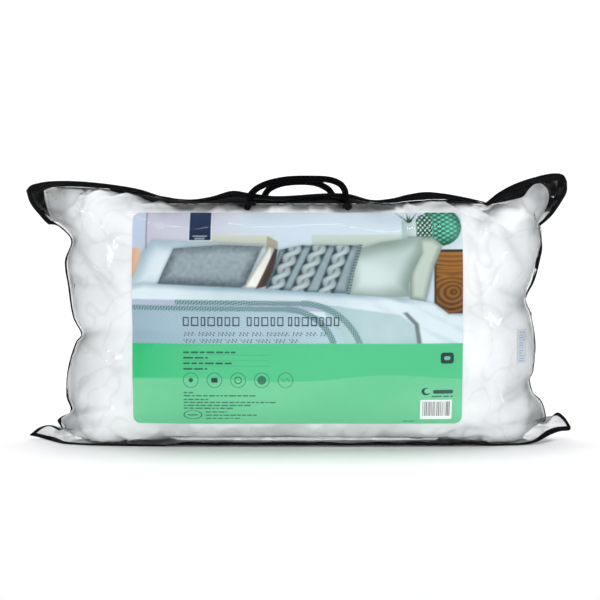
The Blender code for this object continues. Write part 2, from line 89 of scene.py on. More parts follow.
BAG_LEFT = (
    (-0.395, 0.006), (-0.3824, 0.0163), (-0.3731, 0.0199), (-0.3647, 0.0194), (-0.35, 0.0125),
    (-0.3482, 0.0171), (-0.3537, 0.0283), (-0.3347, 0.0421), (-0.3404, 0.0631), (-0.3379, 0.1037),
    (-0.3259, 0.1428), (-0.318, 0.1537), (-0.3296, 0.1784), (-0.3363, 0.224), (-0.3404, 0.2603),
    (-0.331, 0.29), (-0.3477, 0.3096), (-0.3571, 0.3132), (-0.3636, 0.3132), (-0.3767, 0.327),
    (-0.3897, 0.3444), (-0.395, 0.3618),
)
BAG_RIGHT = (
    (0.395, 0.0187), (0.3858, 0.0328), (0.3748, 0.0395), (0.3607, 0.0263), (0.356, 0.024),
    (0.3591, 0.0326), (0.352, 0.0566), (0.3397, 0.0689), (0.3349, 0.0877), (0.3395, 0.0993),
    (0.3424, 0.1414), (0.3353, 0.1834), (0.3273, 0.2037), (0.3402, 0.2327), (0.3478, 0.2632),
    (0.3505, 0.2803), (0.3473, 0.3053), (0.3446, 0.3087), (0.3542, 0.3168), (0.3658, 0.3284),
    (0.3774, 0.3458), (0.385, 0.3603), (0.385, 0.3748),
)
# Width of binding that shows at each place: (x, width) along the top, (z, width) up the sides.
TOP_WIDTH = (
    (-0.395, 0.007), (-0.359, 0.0072), (-0.304, 0.007), (-0.26, 0.0058), (-0.236, 0.0042),
    (-0.205, 0.0012), (-0.159, 0.001), (-0.128, 0.0036), (-0.097, 0.0058), (-0.072, 0.005),
    (-0.033, 0.003), (0.038, 0.0032), (0.07, 0.0046), (0.102, 0.0026), (0.132, 0.0062),
    (0.153, 0.0086), (0.178, 0.011), (0.203, 0.009), (0.23, 0.0056), (0.261, 0.0018),
    (0.288, 0.005), (0.311, 0.0064), (0.34, 0.0072), (0.385, 0.0086),
)
LEFT_WIDTH = (
    (0.000, 0.005), (0.018, 0.0066), (0.03, 0.005), (0.06, 0.0052), (0.1, 0.0066),
    (0.15, 0.0084), (0.18, 0.0056), (0.23, 0.008), (0.27, 0.0084), (0.292, 0.006),
    (0.305, 0.0066), (0.327, 0.0072), (0.362, 0.0078),
)
RIGHT_WIDTH = (
    (0.01, 0.0062), (0.04, 0.0066), (0.056, 0.0066), (0.09, 0.0074), (0.141, 0.0088),
    (0.19, 0.0066), (0.204, 0.005), (0.222, 0.012), (0.25, 0.013), (0.27, 0.011),
    (0.3, 0.0086), (0.309, 0.005), (0.328, 0.0072), (0.375, 0.009),
)
BOTTOM_WIDTH = (
    (-0.395, 0.0052), (-0.365, 0.0042), (-0.345, 0.002), (0.34, 0.0024), (0.365, 0.0052),
    (0.395, 0.006),
)
BAG_WIDTH, BAG_HEIGHT = 0.79, 0.36
BAG_BULGE = 0.1
EAR_FLAT, EAR_FULL = 0.01, 0.06
BAG_SPAN = (-0.872, 0.98)
EDGE_GAP = 0.0015
FILM_COLUMNS, FILM_ROWS = 264, 136

# Seam of the pillow's cover.
PILLOW_TOP = (
    (-0.368, 0.36), (-0.35, 0.365), (-0.3, 0.363), (-0.25, 0.357), (-0.205, 0.348),
    (-0.159, 0.343), (-0.097, 0.346), (0.0000, 0.345), (0.102, 0.343), (0.178, 0.348),
    (0.23, 0.344), (0.268, 0.339), (0.29, 0.342), (0.312, 0.347), (0.324, 0.351),
    (0.331, 0.361), (0.34, 0.369), (0.347, 0.371),
)
PILLOW_BOTTOM = (
    (-0.343, 0.014), (-0.325, 0.007), (-0.29, 0.0046), (0.0000, 0.0046), (0.29, 0.005),
    (0.325, 0.011), (0.345, 0.022),
)
PILLOW_LEFT = (
    (-0.343, 0.014), (-0.347, 0.029), (-0.33, 0.043), (-0.336, 0.0631), (-0.3338, 0.1037),
    (-0.3215, 0.1428), (-0.3138, 0.1537), (-0.3255, 0.1784), (-0.332, 0.224), (-0.336, 0.2603),
    (-0.327, 0.29), (-0.341, 0.309), (-0.356, 0.32), (-0.364, 0.34), (-0.368, 0.36),
)
PILLOW_RIGHT = (
    (0.345, 0.022), (0.3535, 0.033), (0.3475, 0.056), (0.335, 0.068), (0.33, 0.0877),
    (0.3345, 0.0993), (0.3375, 0.1414), (0.3305, 0.1834), (0.3228, 0.2037), (0.3345, 0.2327),
    (0.34, 0.2632), (0.3425, 0.2803), (0.34, 0.3053), (0.3395, 0.313), (0.347, 0.325),
    (0.357, 0.348), (0.3555, 0.363), (0.347, 0.371),
)
PILLOW_BULGE = 0.0935
PILLOW_SPAN = (-0.86, 0.986)
PILLOW_COLUMNS, PILLOW_ROWS = 132, 64
BASE_STEPS, TOP_STEPS = 7, 4
UNDER_FILM = 0.0042  # the cover lies at least this far inside the film
PIPING_RADIUS = 0.0018

FILM_OFF = 0.0006  # the film lies this far outside the smooth form
BINDING_THICKNESS = 0.0016
GUSSET_THICKNESS = 0.0005

# Card, behind the front film.
CARD_LEFT, CARD_BOTTOM = -0.2337, 0.0356
CARD_WIDTH, CARD_HEIGHT = 0.46, 0.2951
CARD_CORNER = 0.0095
CARD_DEPTH = 0.002  # behind the film
CARD_STEP = 0.00125
LABEL_LEFT, LABEL_BOTTOM = 0.3085, 0.117
LABEL_WIDTH, LABEL_HEIGHT = 0.0135, 0.0485

HANDLE_RADIUS = 0.0047
HANDLE_Y = 0.0325
FRONT_PIVOT_Z, BACK_PIVOT_Z = 0.3523, 0.3503
# Centre line of each handle from its left foot to its right foot: (x, lean along +Y, rise).
FRONT_HANDLE = (
    (-0.0714, 0.0000, 0.0000), (-0.069, 0.0000, 0.005), (-0.061, 0.004, 0.0125),
    (-0.045, 0.014, 0.02), (-0.018, 0.02, 0.0255), (0.018, 0.021, 0.0265),
    (0.042, 0.019, 0.025), (0.057, 0.011, 0.019), (0.0635, 0.002, 0.01),
    (0.0645, 0.0000, 0.0045), (0.0648, 0.0000, 0.0000),
)
BACK_HANDLE = (
    (-0.053, 0.0000, 0.0000), (-0.0515, 0.0000, 0.0055), (-0.0445, 0.005, 0.0145),
    (-0.027, 0.013, 0.022), (0.0000, 0.0165, 0.0248), (0.023, 0.014, 0.0228),
    (0.04, 0.006, 0.015), (0.0475, 0.0000, 0.0058), (0.049, 0.0000, 0.0000),
)

ZIP_Z = 0.3423
ZIP_HALF = 0.24

CAMERA_AIM_Z = 0.2037
CAMERA_DISTANCE = 2.06
CAMERA_ELEVATION = math.radians(4)
CAMERA_LENS = 85.2


# ---------------------------------------------------------------- small helpers


def lerp(a, b, t):
    return a + (b - a) * t


def smooth(start, end, value):
    t = np.clip((np.asarray(value, float) - start) / (end - start), 0, 1)
    return t * t * (3 - 2 * t)


def table(pairs, at):
    """Value between listed (place, value) pairs."""
    places, values = zip(*pairs)
    return np.interp(at, places, values)


def field(x, z, scale, seed):
    """Soft noise from -1 to 1 over the front of the bag, with features of about 1 / scale metres."""
    flat = zip(np.ravel(x), np.ravel(z))
    values = [noise.noise(Vector((a * scale, b * scale, seed))) for a, b in flat]
    return np.array(values).reshape(np.shape(x))


class Curve:
    """Smooth curve through points, read by share of its length."""

    def __init__(self, points):
        self.points = np.array(points, float)
        steps = np.linalg.norm(np.diff(self.points, axis=0), axis=1)
        self.along = np.concatenate([[0], np.cumsum(steps)])
        self.length = self.along[-1]
        self.along /= self.length
        ahead = np.roll(self.points, -1, 0)
        behind = np.roll(self.points, 1, 0)
        ahead[-1], behind[0] = self.points[-1], self.points[0]
        span = np.roll(self.along, -1) - np.roll(self.along, 1)
        span[0] = self.along[1]
        span[-1] = 1 - self.along[-2]
        self.slopes = (ahead - behind) / span[:, None]

    def at(self, s):
        s = np.clip(np.asarray(s, float), 0, 1)
        i = np.clip(np.searchsorted(self.along, s, side="right") - 1, 0, len(self.along) - 2)
        gap = (self.along[i + 1] - self.along[i])[..., None]
        t = ((s - self.along[i])[..., None]) / gap
        return (
            (2 * t**3 - 3 * t**2 + 1) * self.points[i]
            + (t**3 - 2 * t**2 + t) * gap * self.slopes[i]
            + (3 * t**2 - 2 * t**3) * self.points[i + 1]
            + (t**3 - t**2) * gap * self.slopes[i + 1]
        )


class Panel:
    """The surface spanned between four side curves, in the XZ plane."""

    def __init__(self, top, bottom, left, right):
        self.top, self.bottom, self.left, self.right = (Curve(c) for c in (top, bottom, left, right))

    def at(self, u, v):
        u, v = np.broadcast_arrays(np.asarray(u, float), np.asarray(v, float))
        b = v[..., None]
        low = (self.bottom.at(0.0), self.bottom.at(1.0))
        high = (self.top.at(0.0), self.top.at(1.0))
        # How each side wanders up and down from a straight line dies away a short way into the panel.
        left = self.left.at(v) - lerp(low[0], high[0], b)
        right = self.right.at(v) - lerp(low[1], high[1], b)
        left_share = np.stack([1 - u, (1 - u) ** 8], -1)
        right_share = np.stack([u, u**8], -1)
        return lerp(self.bottom.at(u), self.top.at(u), b) + left_share * left + right_share * right


BAG = Panel(BAG_TOP, BAG_BOTTOM, BAG_LEFT, BAG_RIGHT)
PILLOW = Panel(PILLOW_TOP, PILLOW_BOTTOM, PILLOW_LEFT, PILLOW_RIGHT)


def crown(u, v, span):
    across = 1 - np.abs(2 * u - 1) ** 4.0
    up = 1 - np.abs(lerp(span[0], span[1], v)) ** 3.0
    return np.sqrt(np.clip(across * up, 0, None))


def bag_depth(u, v):
    """How far the film stands off the middle plane."""
    corner = np.hypot(np.minimum(u, 1 - u) * BAG_WIDTH, np.minimum(v, 1 - v) * BAG_HEIGHT)
    return EDGE_GAP + BAG_BULGE * smooth(EAR_FLAT, EAR_FULL, corner) * crown(u, v, BAG_SPAN)


def pillow_depth(u, v):
    corner = np.hypot(np.minimum(u, 1 - u) * 0.68, np.minimum(v, 1 - v) * 0.345)
    return 0.0012 + PILLOW_BULGE * smooth(-0.02, 0.07, corner) * crown(u, v, PILLOW_SPAN)


def on_floor(x):
    """1 along the length that stands on the floor, 0 in the corner ears."""
    return 1 - smooth(0.29, 0.36, np.abs(x))


def inside(u, v):
    """Place (u, v) on the whole panel of a place on the film, which starts inside the binding."""
    u, v = np.broadcast_arrays(np.asarray(u, float), np.asarray(v, float))
    left = table(LEFT_WIDTH, BAG.left.at(v)[..., 1]) / BAG_WIDTH
    right = table(RIGHT_WIDTH, BAG.right.at(v)[..., 1]) / BAG_WIDTH
    top = table(TOP_WIDTH, BAG.top.at(u)[..., 0]) / BAG_HEIGHT
    base_x = BAG.bottom.at(u)[..., 0]
    bottom = table(BOTTOM_WIDTH, base_x) / BAG_HEIGHT * (1 - on_floor(base_x))
    return lerp(left, 1 - right, u), lerp(bottom, 1 - top, v)


def film_point(u, v, side, off=0.0):
    place = BAG.at(*inside(u, v))
    depth = side * (bag_depth(u, v) + off)
    return np.stack([place[..., 0], np.broadcast_to(depth, place[..., 0].shape), place[..., 1]], -1)


# ---------------------------------------------------------------- meshes


def deselect():
    for ob in bpy.context.view_layer.objects:
        ob.select_set(False)


def edit(ob, operator, **settings):
    """Runs one operator on the whole mesh in edit mode."""
    deselect()
    ob.select_set(True)
    bpy.context.view_layer.objects.active = ob
    bpy.ops.object.mode_set(mode="EDIT")
    bpy.ops.mesh.select_all(action="SELECT")
    operator(**settings)
    bpy.ops.object.mode_set(mode="OBJECT")


def add_ink(ob, colour):
    """Stores one colour for each vertex, for the printed material to read."""
    layer = ob.data.color_attributes.new("ink", "FLOAT_COLOR", "POINT")
    opaque = np.concatenate([colour, np.ones((*colour.shape[:2], 1))], -1)
    layer.data.foreach_set("color", opaque.astype(np.float32).ravel())


def add_object(name, vertices, faces, material, uv=None):
    mesh = bpy.data.meshes.new(name)
    mesh.from_pydata(np.asarray(vertices).reshape(-1, 3).tolist(), [], [list(f) for f in faces])
    if uv is not None:
        layer = mesh.uv_layers.new(name="UVMap")
        order = np.empty(len(mesh.loops), int)
        mesh.loops.foreach_get("vertex_index", order)
        layer.uv.foreach_set("vector", np.asarray(uv, np.float32).reshape(-1, 2)[order].ravel())
    mesh.materials.append(material)
    mesh.shade_smooth()
    ob = bpy.data.objects.new(name, mesh)
    bpy.context.scene.collection.objects.link(ob)
    return ob


def add_value(ob, name, values):
    """Stores one number for each vertex, for the material to read."""
    layer = ob.data.attributes.new(name, "FLOAT", "POINT")
    layer.data.foreach_set("value", np.ravel(values).astype(np.float32))


def index_quads(index, flip=False):
    faces = np.stack([index[:-1, :-1], index[:-1, 1:], index[1:, 1:], index[1:, :-1]], -1).reshape(-1, 4)
    return faces[:, ::-1] if flip else faces


def quads(rows, columns, flip=False):
    return index_quads(np.arange(rows * columns).reshape(rows, columns), flip)


def ring_faces(count, sides, cyclic, flip=False):
    """Faces between rings of vertices, with two end caps unless they close on themselves."""
    faces = []
    for i in range(count if cyclic else count - 1):
        j = (i + 1) % count
        for k in range(sides):
            m = (k + 1) % sides
            a, b, c, d = i * sides + k, j * sides + k, j * sides + m, i * sides + m
            faces.append((a, d, c, b) if flip else (a, b, c, d))
    if not cyclic:
        first, last = range(sides), range((count - 1) * sides, count * sides)
        faces.append(tuple(reversed(first)) if flip else tuple(first))
        faces.append(tuple(last) if flip else tuple(reversed(last)))
    return faces


def lengths_along(path):
    return np.concatenate([[0], np.cumsum(np.linalg.norm(np.diff(path, axis=0), axis=1))])


def grid_object(name, points, material, uv=None, flip=False):
    rows, columns = points.shape[:2]
    return add_object(name, points, quads(rows, columns, flip), material, uv)


def apply_modifiers(ob):
    deselect()
    ob.select_set(True)
    bpy.context.view_layer.objects.active = ob
    for modifier in list(ob.modifiers):
        bpy.ops.object.modifier_apply(modifier=modifier.name)


def thicken(ob, thickness, offset=-1.0):
    """Gives a sheet its real thickness, as a closed mesh."""
    solid = ob.modifiers.new("thickness", "SOLIDIFY")
    solid.thickness = thickness
    solid.offset = offset
    apply_modifiers(ob)


def tube_mesh(name, path, radius, material, sides=12, cyclic=False):
    """A round cord along a path. Its UV runs along it in metres and once round it."""
    path = np.asarray(path, float)
    count = len(path)
    if cyclic:
        tangent = np.roll(path, -1, 0) - np.roll(path, 1, 0)
    else:
        tangent = np.gradient(path, axis=0)
    tangent /= np.linalg.norm(tangent, axis=1)[:, None]
    normal = np.array([0.0, 1.0, 0.0]) - tangent[0] * tangent[0][1]
    frames = []
    for t in tangent:
        normal = normal - t * normal.dot(t)
        normal /= np.linalg.norm(normal)
        frames.append((normal.copy(), np.cross(t, normal)))
    angles = np.linspace(0, math.tau, sides, endpoint=False)
    rings = [
        path[i] + radius * (np.cos(angles)[:, None] * n + np.sin(angles)[:, None] * b)
        for i, (n, b) in enumerate(frames)
    ]
    vertices = np.concatenate(rings)
    faces = ring_faces(count, sides, cyclic)
    lengths = lengths_along(path)
    uv = [(lengths[i], k / sides) for i in range(count) for k in range(sides)]
    ob = add_object(name, vertices, faces, material, uv)
    recalculate(ob)
    return ob


def recalculate(ob):
    edit(ob, bpy.ops.mesh.normals_make_consistent, inside=False)


def strip_mesh(name, outer, inner, thickness, material, cyclic):
    """A folded tape between two lines of points, with rounded edges. UV runs along it and across it."""
    outer, inner = np.asarray(outer, float), np.asarray(inner, float)
    across = inner - outer
    middle = (outer + inner) / 2
    tangent = (np.roll(middle, -1, 0) - np.roll(middle, 1, 0)) if cyclic else np.gradient(middle, axis=0)
    face = np.cross(tangent, across)
    face /= np.linalg.norm(face, axis=1)[:, None] + 1e-9
    section = (
        (0.00, -0.25), (0.00, 0.25), (0.1, 0.5), (0.5, 0.56), (0.9, 0.5),
        (1.00, 0.25), (1.00, -0.25), (0.9, -0.5), (0.5, -0.56), (0.1, -0.5),
    )
    rings = [outer + across * a + face * (b * thickness) for a, b in section]
    sides, count = len(section), len(outer)
    vertices = np.stack(rings, 1).reshape(-1, 3)
    faces = ring_faces(count, sides, cyclic, flip=True)
    lengths = lengths_along(middle)
    uv = [(lengths[i], a * 0.008) for i in range(count) for a, b in section]
    ob = add_object(name, vertices, faces, material, uv)
    recalculate(ob)
    return ob


# ---------------------------------------------------------------- materials


def linear(hex_colour):
    """sRGB hex to a linear colour with alpha 1."""
    channels = [int(hex_colour[i : i + 2], 16) / 255 for i in (1, 3, 5)]
    return (*(c / 12.92 if c <= 0.04045 else ((c + 0.055) / 1.055) ** 2.4 for c in channels), 1.0)


def new_material(name, **shader):
    """A material with a Principled shader and the given sockets set."""
    material = bpy.data.materials.new(name)
    material.use_nodes = True
    tree = material.node_tree
    principled = tree.nodes["Principled BSDF"]
    for socket, value in shader.items():
        principled.inputs[socket.replace("_", " ")].default_value = value
    return material, tree, principled


def node(tree, kind, settings=None, links=None):
    """Adds a node. Settings name its sockets or properties; links name a socket and (node, output)."""
    made = tree.nodes.new("ShaderNode" + kind)
    for key, value in (settings or {}).items():
        if isinstance(key, int) or key in made.inputs:
            made.inputs[key].default_value = value
        else:
            setattr(made, key, value)
    for key, (source, output) in (links or {}).items():
        tree.links.new(source.outputs[output], made.inputs[key])
    return made


def mottle(tree, principled, coordinate, colours, scale, bump_scale, bump, distance=0.0004):
    """Soft colour variation between two colours and a fine relief."""
    patches = node(tree, "TexNoise", {"Scale": scale, "Detail": 3.0}, {"Vector": coordinate})
    ramp = node(tree, "ValToRGB", links={"Fac": (patches, "Fac")})
    ramp.color_ramp.elements[0].position = 0.35
    ramp.color_ramp.elements[1].position = 0.65
    ramp.color_ramp.elements[0].color = linear(colours[0])
    ramp.color_ramp.elements[1].color = linear(colours[1])
    tree.links.new(ramp.outputs["Color"], principled.inputs["Base Color"])
    grain = node(tree, "TexNoise", {"Scale": bump_scale, "Detail": 2.0}, {"Vector": coordinate})
    relief = node(tree, "Bump", {"Strength": bump, "Distance": distance}, {"Height": (grain, "Fac")})
    tree.links.new(relief.outputs["Normal"], principled.inputs["Normal"])
    return relief


def weave(tree, coordinate, pitch, strength, distance=0.0003):
    """Relief of a plain weave: two crossed sets of threads, pitch metres apart."""
    across = node(
        tree, "TexWave", {"wave_type": "BANDS", "bands_direction": "X", "Scale": 0.314 / pitch / 2},
        {"Vector": coordinate},
    )
    along = node(
        tree, "TexWave", {"wave_type": "BANDS", "bands_direction": "Y", "Scale": 0.314 / pitch / 2},
        {"Vector": coordinate},
    )
    both = node(
        tree, "Math", {"operation": "MULTIPLY"}, {0: (across, "Fac"), 1: (along, "Fac")}
    )
    return node(tree, "Bump", {"Strength": strength, "Distance": distance}, {"Height": (both, 0)})


def percale():
    # Woven cotton percale: a matt white with a faint thread relief and soft shading in the dips.
    material, tree, principled = new_material(
        "percale_cotton", Roughness=0.88, Sheen_Weight=0.25, Sheen_Roughness=0.5, Specular_IOR_Level=0.25
    )
    place = node(tree, "TexCoord")
    relief = mottle(
        tree, principled, (place, "Object"), ("#E9EAEC", "#F6F7F8"), 14.0, 160.0, 0.25, 0.0008
    )
    # Creases of a cover that has been packed tight, some 20 to 50 mm long.
    rumple = node(
        tree, "TexNoise",
        {"noise_type": "RIDGED_MULTIFRACTAL", "Scale": 13.0, "Detail": 4.0, "Roughness": 0.55,
            "Distortion": 0.6},
        {"Vector": (place, "Object")},
    )
    creased = node(
        tree, "Bump", {"Strength": 0.55, "Distance": 0.006},
        {"Height": (rumple, "Fac"), "Normal": (relief, "Normal")},
    )
    # Threads are 0.2 mm apart, too fine to show, so they are drawn 1.6 mm apart.
    threads = weave(tree, (place, "UV"), 0.0016, 0.1, 0.0003)
    tree.links.new(creased.outputs["Normal"], threads.inputs["Normal"])
    tree.links.new(threads.outputs["Normal"], principled.inputs["Normal"])
    return material


def wadding():
    # Carded polyester fibre: fluffy, matt and a little creamy, with a tangled relief.
    material, tree, principled = new_material("carded_polyester_fibre", Roughness=0.95, Sheen_Weight=0.5)
    place = node(tree, "TexCoord")
    mottle(tree, principled, (place, "Object"), ("#E4E3DF", "#F4F3F0"), 30.0, 420.0, 0.8, 0.002)
    return material


def satin():
    # Satin-covered piping: white with a soft shine along its twill lines.
    material, tree, principled = new_material("satin_piping_cloth", Roughness=0.38, Sheen_Weight=0.3)
    place = node(tree, "TexCoord")
    mottle(tree, principled, (place, "Object"), ("#ECEDEF", "#FAFAFB"), 40.0, 900.0, 0.3)
    return material


def clear_film():
    # Soft clear PVC film: nearly invisible face on, with white glints on its creases. Grey is painted into
    # what it lets through: painted shade along its top, side seams, creases and wrinkles, streaky grey over
    # the corner ears, and dark smudges over the cord ends.
    material = bpy.data.materials.new("clear_pvc_film")
    material.use_nodes = True
    tree = material.node_tree
    tree.nodes.clear()
    place = node(tree, "TexCoord")
    crumple = node(
        tree, "TexNoise", {"noise_type": "RIDGED_MULTIFRACTAL", "Scale": 24.0, "Detail": 3.0,
            "Roughness": 0.5},
        {"Vector": (place, "Object")},
    )
    relief = node(tree, "Bump", {"Strength": 0.3, "Distance": 0.0012}, {"Height": (crumple, "Fac")})
    gloss = node(
        tree, "BsdfGlossy", {"Roughness": 0.07, "Color": linear("#FFFFFF")}, {"Normal": (relief, "Normal")}
    )
    # Painted shade and smudges, stored on the film, darken what it lets through.
    film_grey_and_painted_shade = node(tree, "Attribute", {"attribute_name": "film_grey_and_painted_shade"})
    tint = node(
        tree, "Mix", {"data_type": "RGBA", 6: linear("#FBFCFC"), 7: linear("#3C3E41")}, {0: (film_grey_and_painted_shade, "Fac")}
    )
    through = node(tree, "BsdfTransparent", links={"Color": (tint, 2)})
    facing = node(tree, "Fresnel", {"IOR": 1.48}, {"Normal": (relief, "Normal")})
    share = node(
        tree, "MapRange", {"From Min": 0.03, "From Max": 1.0, "To Min": 0.012, "To Max": 0.6},
        {"Value": (facing, "Fac")},
    )
    mixed = node(tree, "MixShader", links={"Fac": (share, "Result"), 1: (through, 0), 2: (gloss, 0)})
    node(tree, "OutputMaterial", links={"Surface": (mixed, 0)})
    return material


def black_cloth(name, colours, roughness, grain, bump, threads=None):
    material, tree, principled = new_material(name, Roughness=roughness, Specular_IOR_Level=0.12)
    place = node(tree, "TexCoord")
    relief = mottle(tree, principled, (place, "Object"), colours, 60.0, grain, bump, 0.0005)
    if threads:
        weaving = weave(tree, (place, "UV"), threads, 0.5, 0.0004)
        tree.links.new(relief.outputs["Normal"], weaving.inputs["Normal"])
        tree.links.new(weaving.outputs["Normal"], principled.inputs["Normal"])
    return material


def braid():
    # Braided polypropylene cord: matt black, its strands crossing in a diamond relief, with painted shade in
    # the grooves between them.
    material, tree, principled = new_material(
        "braided_polypropylene_cord", Roughness=0.8, Specular_IOR_Level=0.05
    )
    place = node(tree, "TexCoord")
    split = node(tree, "SeparateXYZ", links={"Vector": (place, "UV")})
    strands = []
    for turn in (1.0, -1.0):
        along = node(tree, "Math", {"operation": "MULTIPLY", 1: 900.0}, {0: (split, "X")})
        around = node(tree, "Math", {"operation": "MULTIPLY", 1: turn * math.tau * 4}, {0: (split, "Y")})
        total = node(tree, "Math", {"operation": "ADD"}, {0: (along, 0), 1: (around, 0)})
        strands.append(node(tree, "Math", {"operation": "SINE"}, {0: (total, 0)}))
    height = node(tree, "Math", {"operation": "MAXIMUM"}, {0: (strands[0], 0), 1: (strands[1], 0)})
    relief = node(tree, "Bump", {"Strength": 0.8, "Distance": 0.0008}, {"Height": (height, 0)})
    # Painted shade: the colour runs from near black in the grooves between the strands to a lighter black on
    # their crests.
    ramp = node(tree, "ValToRGB", links={"Fac": (height, 0)})
    ramp.color_ramp.elements[0].color = linear("#030304")
    ramp.color_ramp.elements[1].color = linear("#0B0C0E")
    tree.links.new(ramp.outputs["Color"], principled.inputs["Base Color"])
    tree.links.new(relief.outputs["Normal"], principled.inputs["Normal"])
    return material


def nonwoven():
    # Spun-bonded polypropylene: dull black with small bonded dots in rows 2.4 mm apart.
    material, tree, principled = new_material("spunbond_polypropylene", Roughness=0.78,
        Specular_IOR_Level=0.1)
    place = node(tree, "TexCoord")
    relief = mottle(tree, principled, (place, "Object"), ("#060607", "#0E0F11"), 50.0, 900.0, 0.5)
    dots = node(
        tree, "TexVoronoi", {"Scale": 420.0, "Randomness": 0.0}, {"Vector": (place, "Object")}
    )
    bonded = node(
        tree, "Bump", {"Strength": 0.7, "Distance": 0.0003},
        {"Height": (dots, "Distance"), "Normal": (relief, "Normal")},
    )
    tree.links.new(bonded.outputs["Normal"], principled.inputs["Normal"])
    return material


def printed_board():
    # Coated board, offset printed: the ink colours stored on the sheet, under a satin varnish.
    material, tree, principled = new_material(
        "printed_coated_board", Roughness=0.55, Specular_IOR_Level=0.25
    )
    place = node(tree, "TexCoord")
    ink = node(tree, "Attribute", {"attribute_name": "ink"})
    speckle = node(tree, "TexNoise", {"Scale": 700.0, "Detail": 1.0}, {"Vector": (place, "Object")})
    tone = node(
        tree, "MapRange", {"To Min": 0.96, "To Max": 1.03}, {"Value": (speckle, "Fac")}
    )
    varied = node(
        tree, "Mix", {"data_type": "RGBA", "blend_type": "MULTIPLY", 0: 1.0},
        {6: (ink, "Color"), 7: (tone, "Result")},
    )
    tree.links.new(varied.outputs[2], principled.inputs["Base Color"])
    dips = node(tree, "TexNoise", {"Scale": 25.0, "Detail": 1.0}, {"Vector": (place, "Object")})
    relief = node(tree, "Bump", {"Strength": 0.15, "Distance": 0.001}, {"Height": (dips, "Fac")})
    tree.links.new(relief.outputs["Normal"], principled.inputs["Normal"])
    return material


def plain_metal(name, colour, roughness, metallic):
    material, tree, principled = new_material(name, Roughness=roughness, Metallic=metallic)
    place = node(tree, "TexCoord")
    mottle(tree, principled, (place, "Object"), (colour, "#26272B"), 120.0, 1500.0, 0.2)
    return material


COTTON = percale()
FIBRE = wadding()
SATIN = satin()
FILM = clear_film()
# Folded polypropylene tape: black, slightly shiny, with its ribbed weave showing.
BINDING = black_cloth("woven_binding_tape", ("#040506", "#0A0B0D"), 0.55, 700.0, 0.3, 0.0014)
NONWOVEN = nonwoven()
CORD = braid()
BOARD = printed_board()
# Woven polyester zip tape: matt black.
ZIP_TAPE = black_cloth("woven_zip_tape", ("#0A0A0C", "#141518"), 0.75, 900.0, 0.4)
# Nylon coil: black with a dull shine.
NYLON = plain_metal("nylon_coil", "#111216", 0.35, 0.0)
# Enamelled zinc: black with a sharper shine.
ZINC = plain_metal("enamelled_zinc", "#15161A", 0.28, 0.7)


# ---------------------------------------------------------------- the film

CREASES = (
    # Sharp folds in the front film: from (x, z) to (x, z), height, half width.
    ((-0.321, 0.288), (-0.24, 0.208), 0.0022, 0.0042),
    ((-0.3, 0.262), (-0.252, 0.196), 0.0014, 0.0036),
    ((-0.33, 0.23), (-0.262, 0.225), 0.0012, 0.005),
    ((-0.344, 0.318), (-0.3, 0.296), 0.0016, 0.0045),
    ((-0.372, 0.338), (-0.318, 0.322), 0.0018, 0.005),
    ((-0.312, 0.154), (-0.262, 0.166), 0.0014, 0.0044),
    ((-0.312, 0.15), (-0.27, 0.126), 0.0014, 0.0044),
    ((-0.332, 0.06), (-0.286, 0.104), 0.0016, 0.005),
    ((-0.33, 0.04), (-0.28, 0.06), 0.0014, 0.0045),
    ((-0.176, 0.002), (-0.16, 0.024), 0.003, 0.0032),
    ((-0.176, 0.002), (-0.186, 0.018), 0.0022, 0.003),
    ((-0.06, 0.002), (-0.046, 0.022), 0.003, 0.0032),
    ((-0.06, 0.002), (-0.074, 0.014), 0.002, 0.0032),
    ((0.077, 0.002), (0.096, 0.024), 0.0028, 0.0032),
    ((0.225, 0.002), (0.236, 0.026), 0.003, 0.0034),
    ((0.225, 0.002), (0.206, 0.018), 0.0022, 0.003),
    ((0.288, 0.3), (0.318, 0.25), 0.0018, 0.0044),
    ((0.318, 0.206), (0.268, 0.226), 0.0014, 0.0046),
    ((0.318, 0.2), (0.276, 0.176), 0.0014, 0.0046),
    ((0.33, 0.092), (0.276, 0.066), 0.0018, 0.0044),
    ((0.33, 0.082), (0.262, 0.044), 0.0016, 0.0044),
    ((0.34, 0.04), (0.286, 0.03), 0.0018, 0.0046),
    ((0.246, 0.26), (0.252, 0.212), 0.0012, 0.003),
    ((0.253, 0.236), (0.256, 0.18), 0.0012, 0.003),
    ((0.262, 0.34), (0.25, 0.3), 0.0018, 0.0046),
    ((0.262, 0.34), (0.294, 0.312), 0.0014, 0.0046),
    ((-0.205, 0.347), (-0.182, 0.322), 0.0016, 0.0046),
    ((-0.159, 0.343), (-0.14, 0.326), 0.0014, 0.004),
    ((0.102, 0.343), (0.12, 0.326), 0.0014, 0.004),
    ((0.213, 0.3), (0.204, 0.268), 0.001, 0.0026),
    ((-0.02, 0.336), (0.11, 0.333), 0.0012, 0.003),
    ((-0.19, 0.334), (-0.09, 0.336), 0.0012, 0.003),
)


def creases(x, z):
    height = np.zeros_like(x)
    for start, end, amount, width in CREASES:
        a, b = np.array(start), np.array(end)
        length = np.linalg.norm(b - a)
        way = (b - a) / length
        along = ((x - a[0]) * way[0] + (z - a[1]) * way[1]) / length
        off = np.abs((x - a[0]) * -way[1] + (z - a[1]) * way[0])
        fade = smooth(-0.15, 0.12, along) * (1 - smooth(0.6, 1.1, along))
        height += amount * fade * np.exp(-((off / width) ** 1.3))
    return height


def over_the_card(x, z):
    """1 where the film lies on the card, 0 round it."""
    across = smooth(-0.245, -0.225, x) * (1 - smooth(0.218, 0.238, x))
    return across * smooth(0.02, 0.04, z) * (1 - smooth(0.325, 0.338, z))


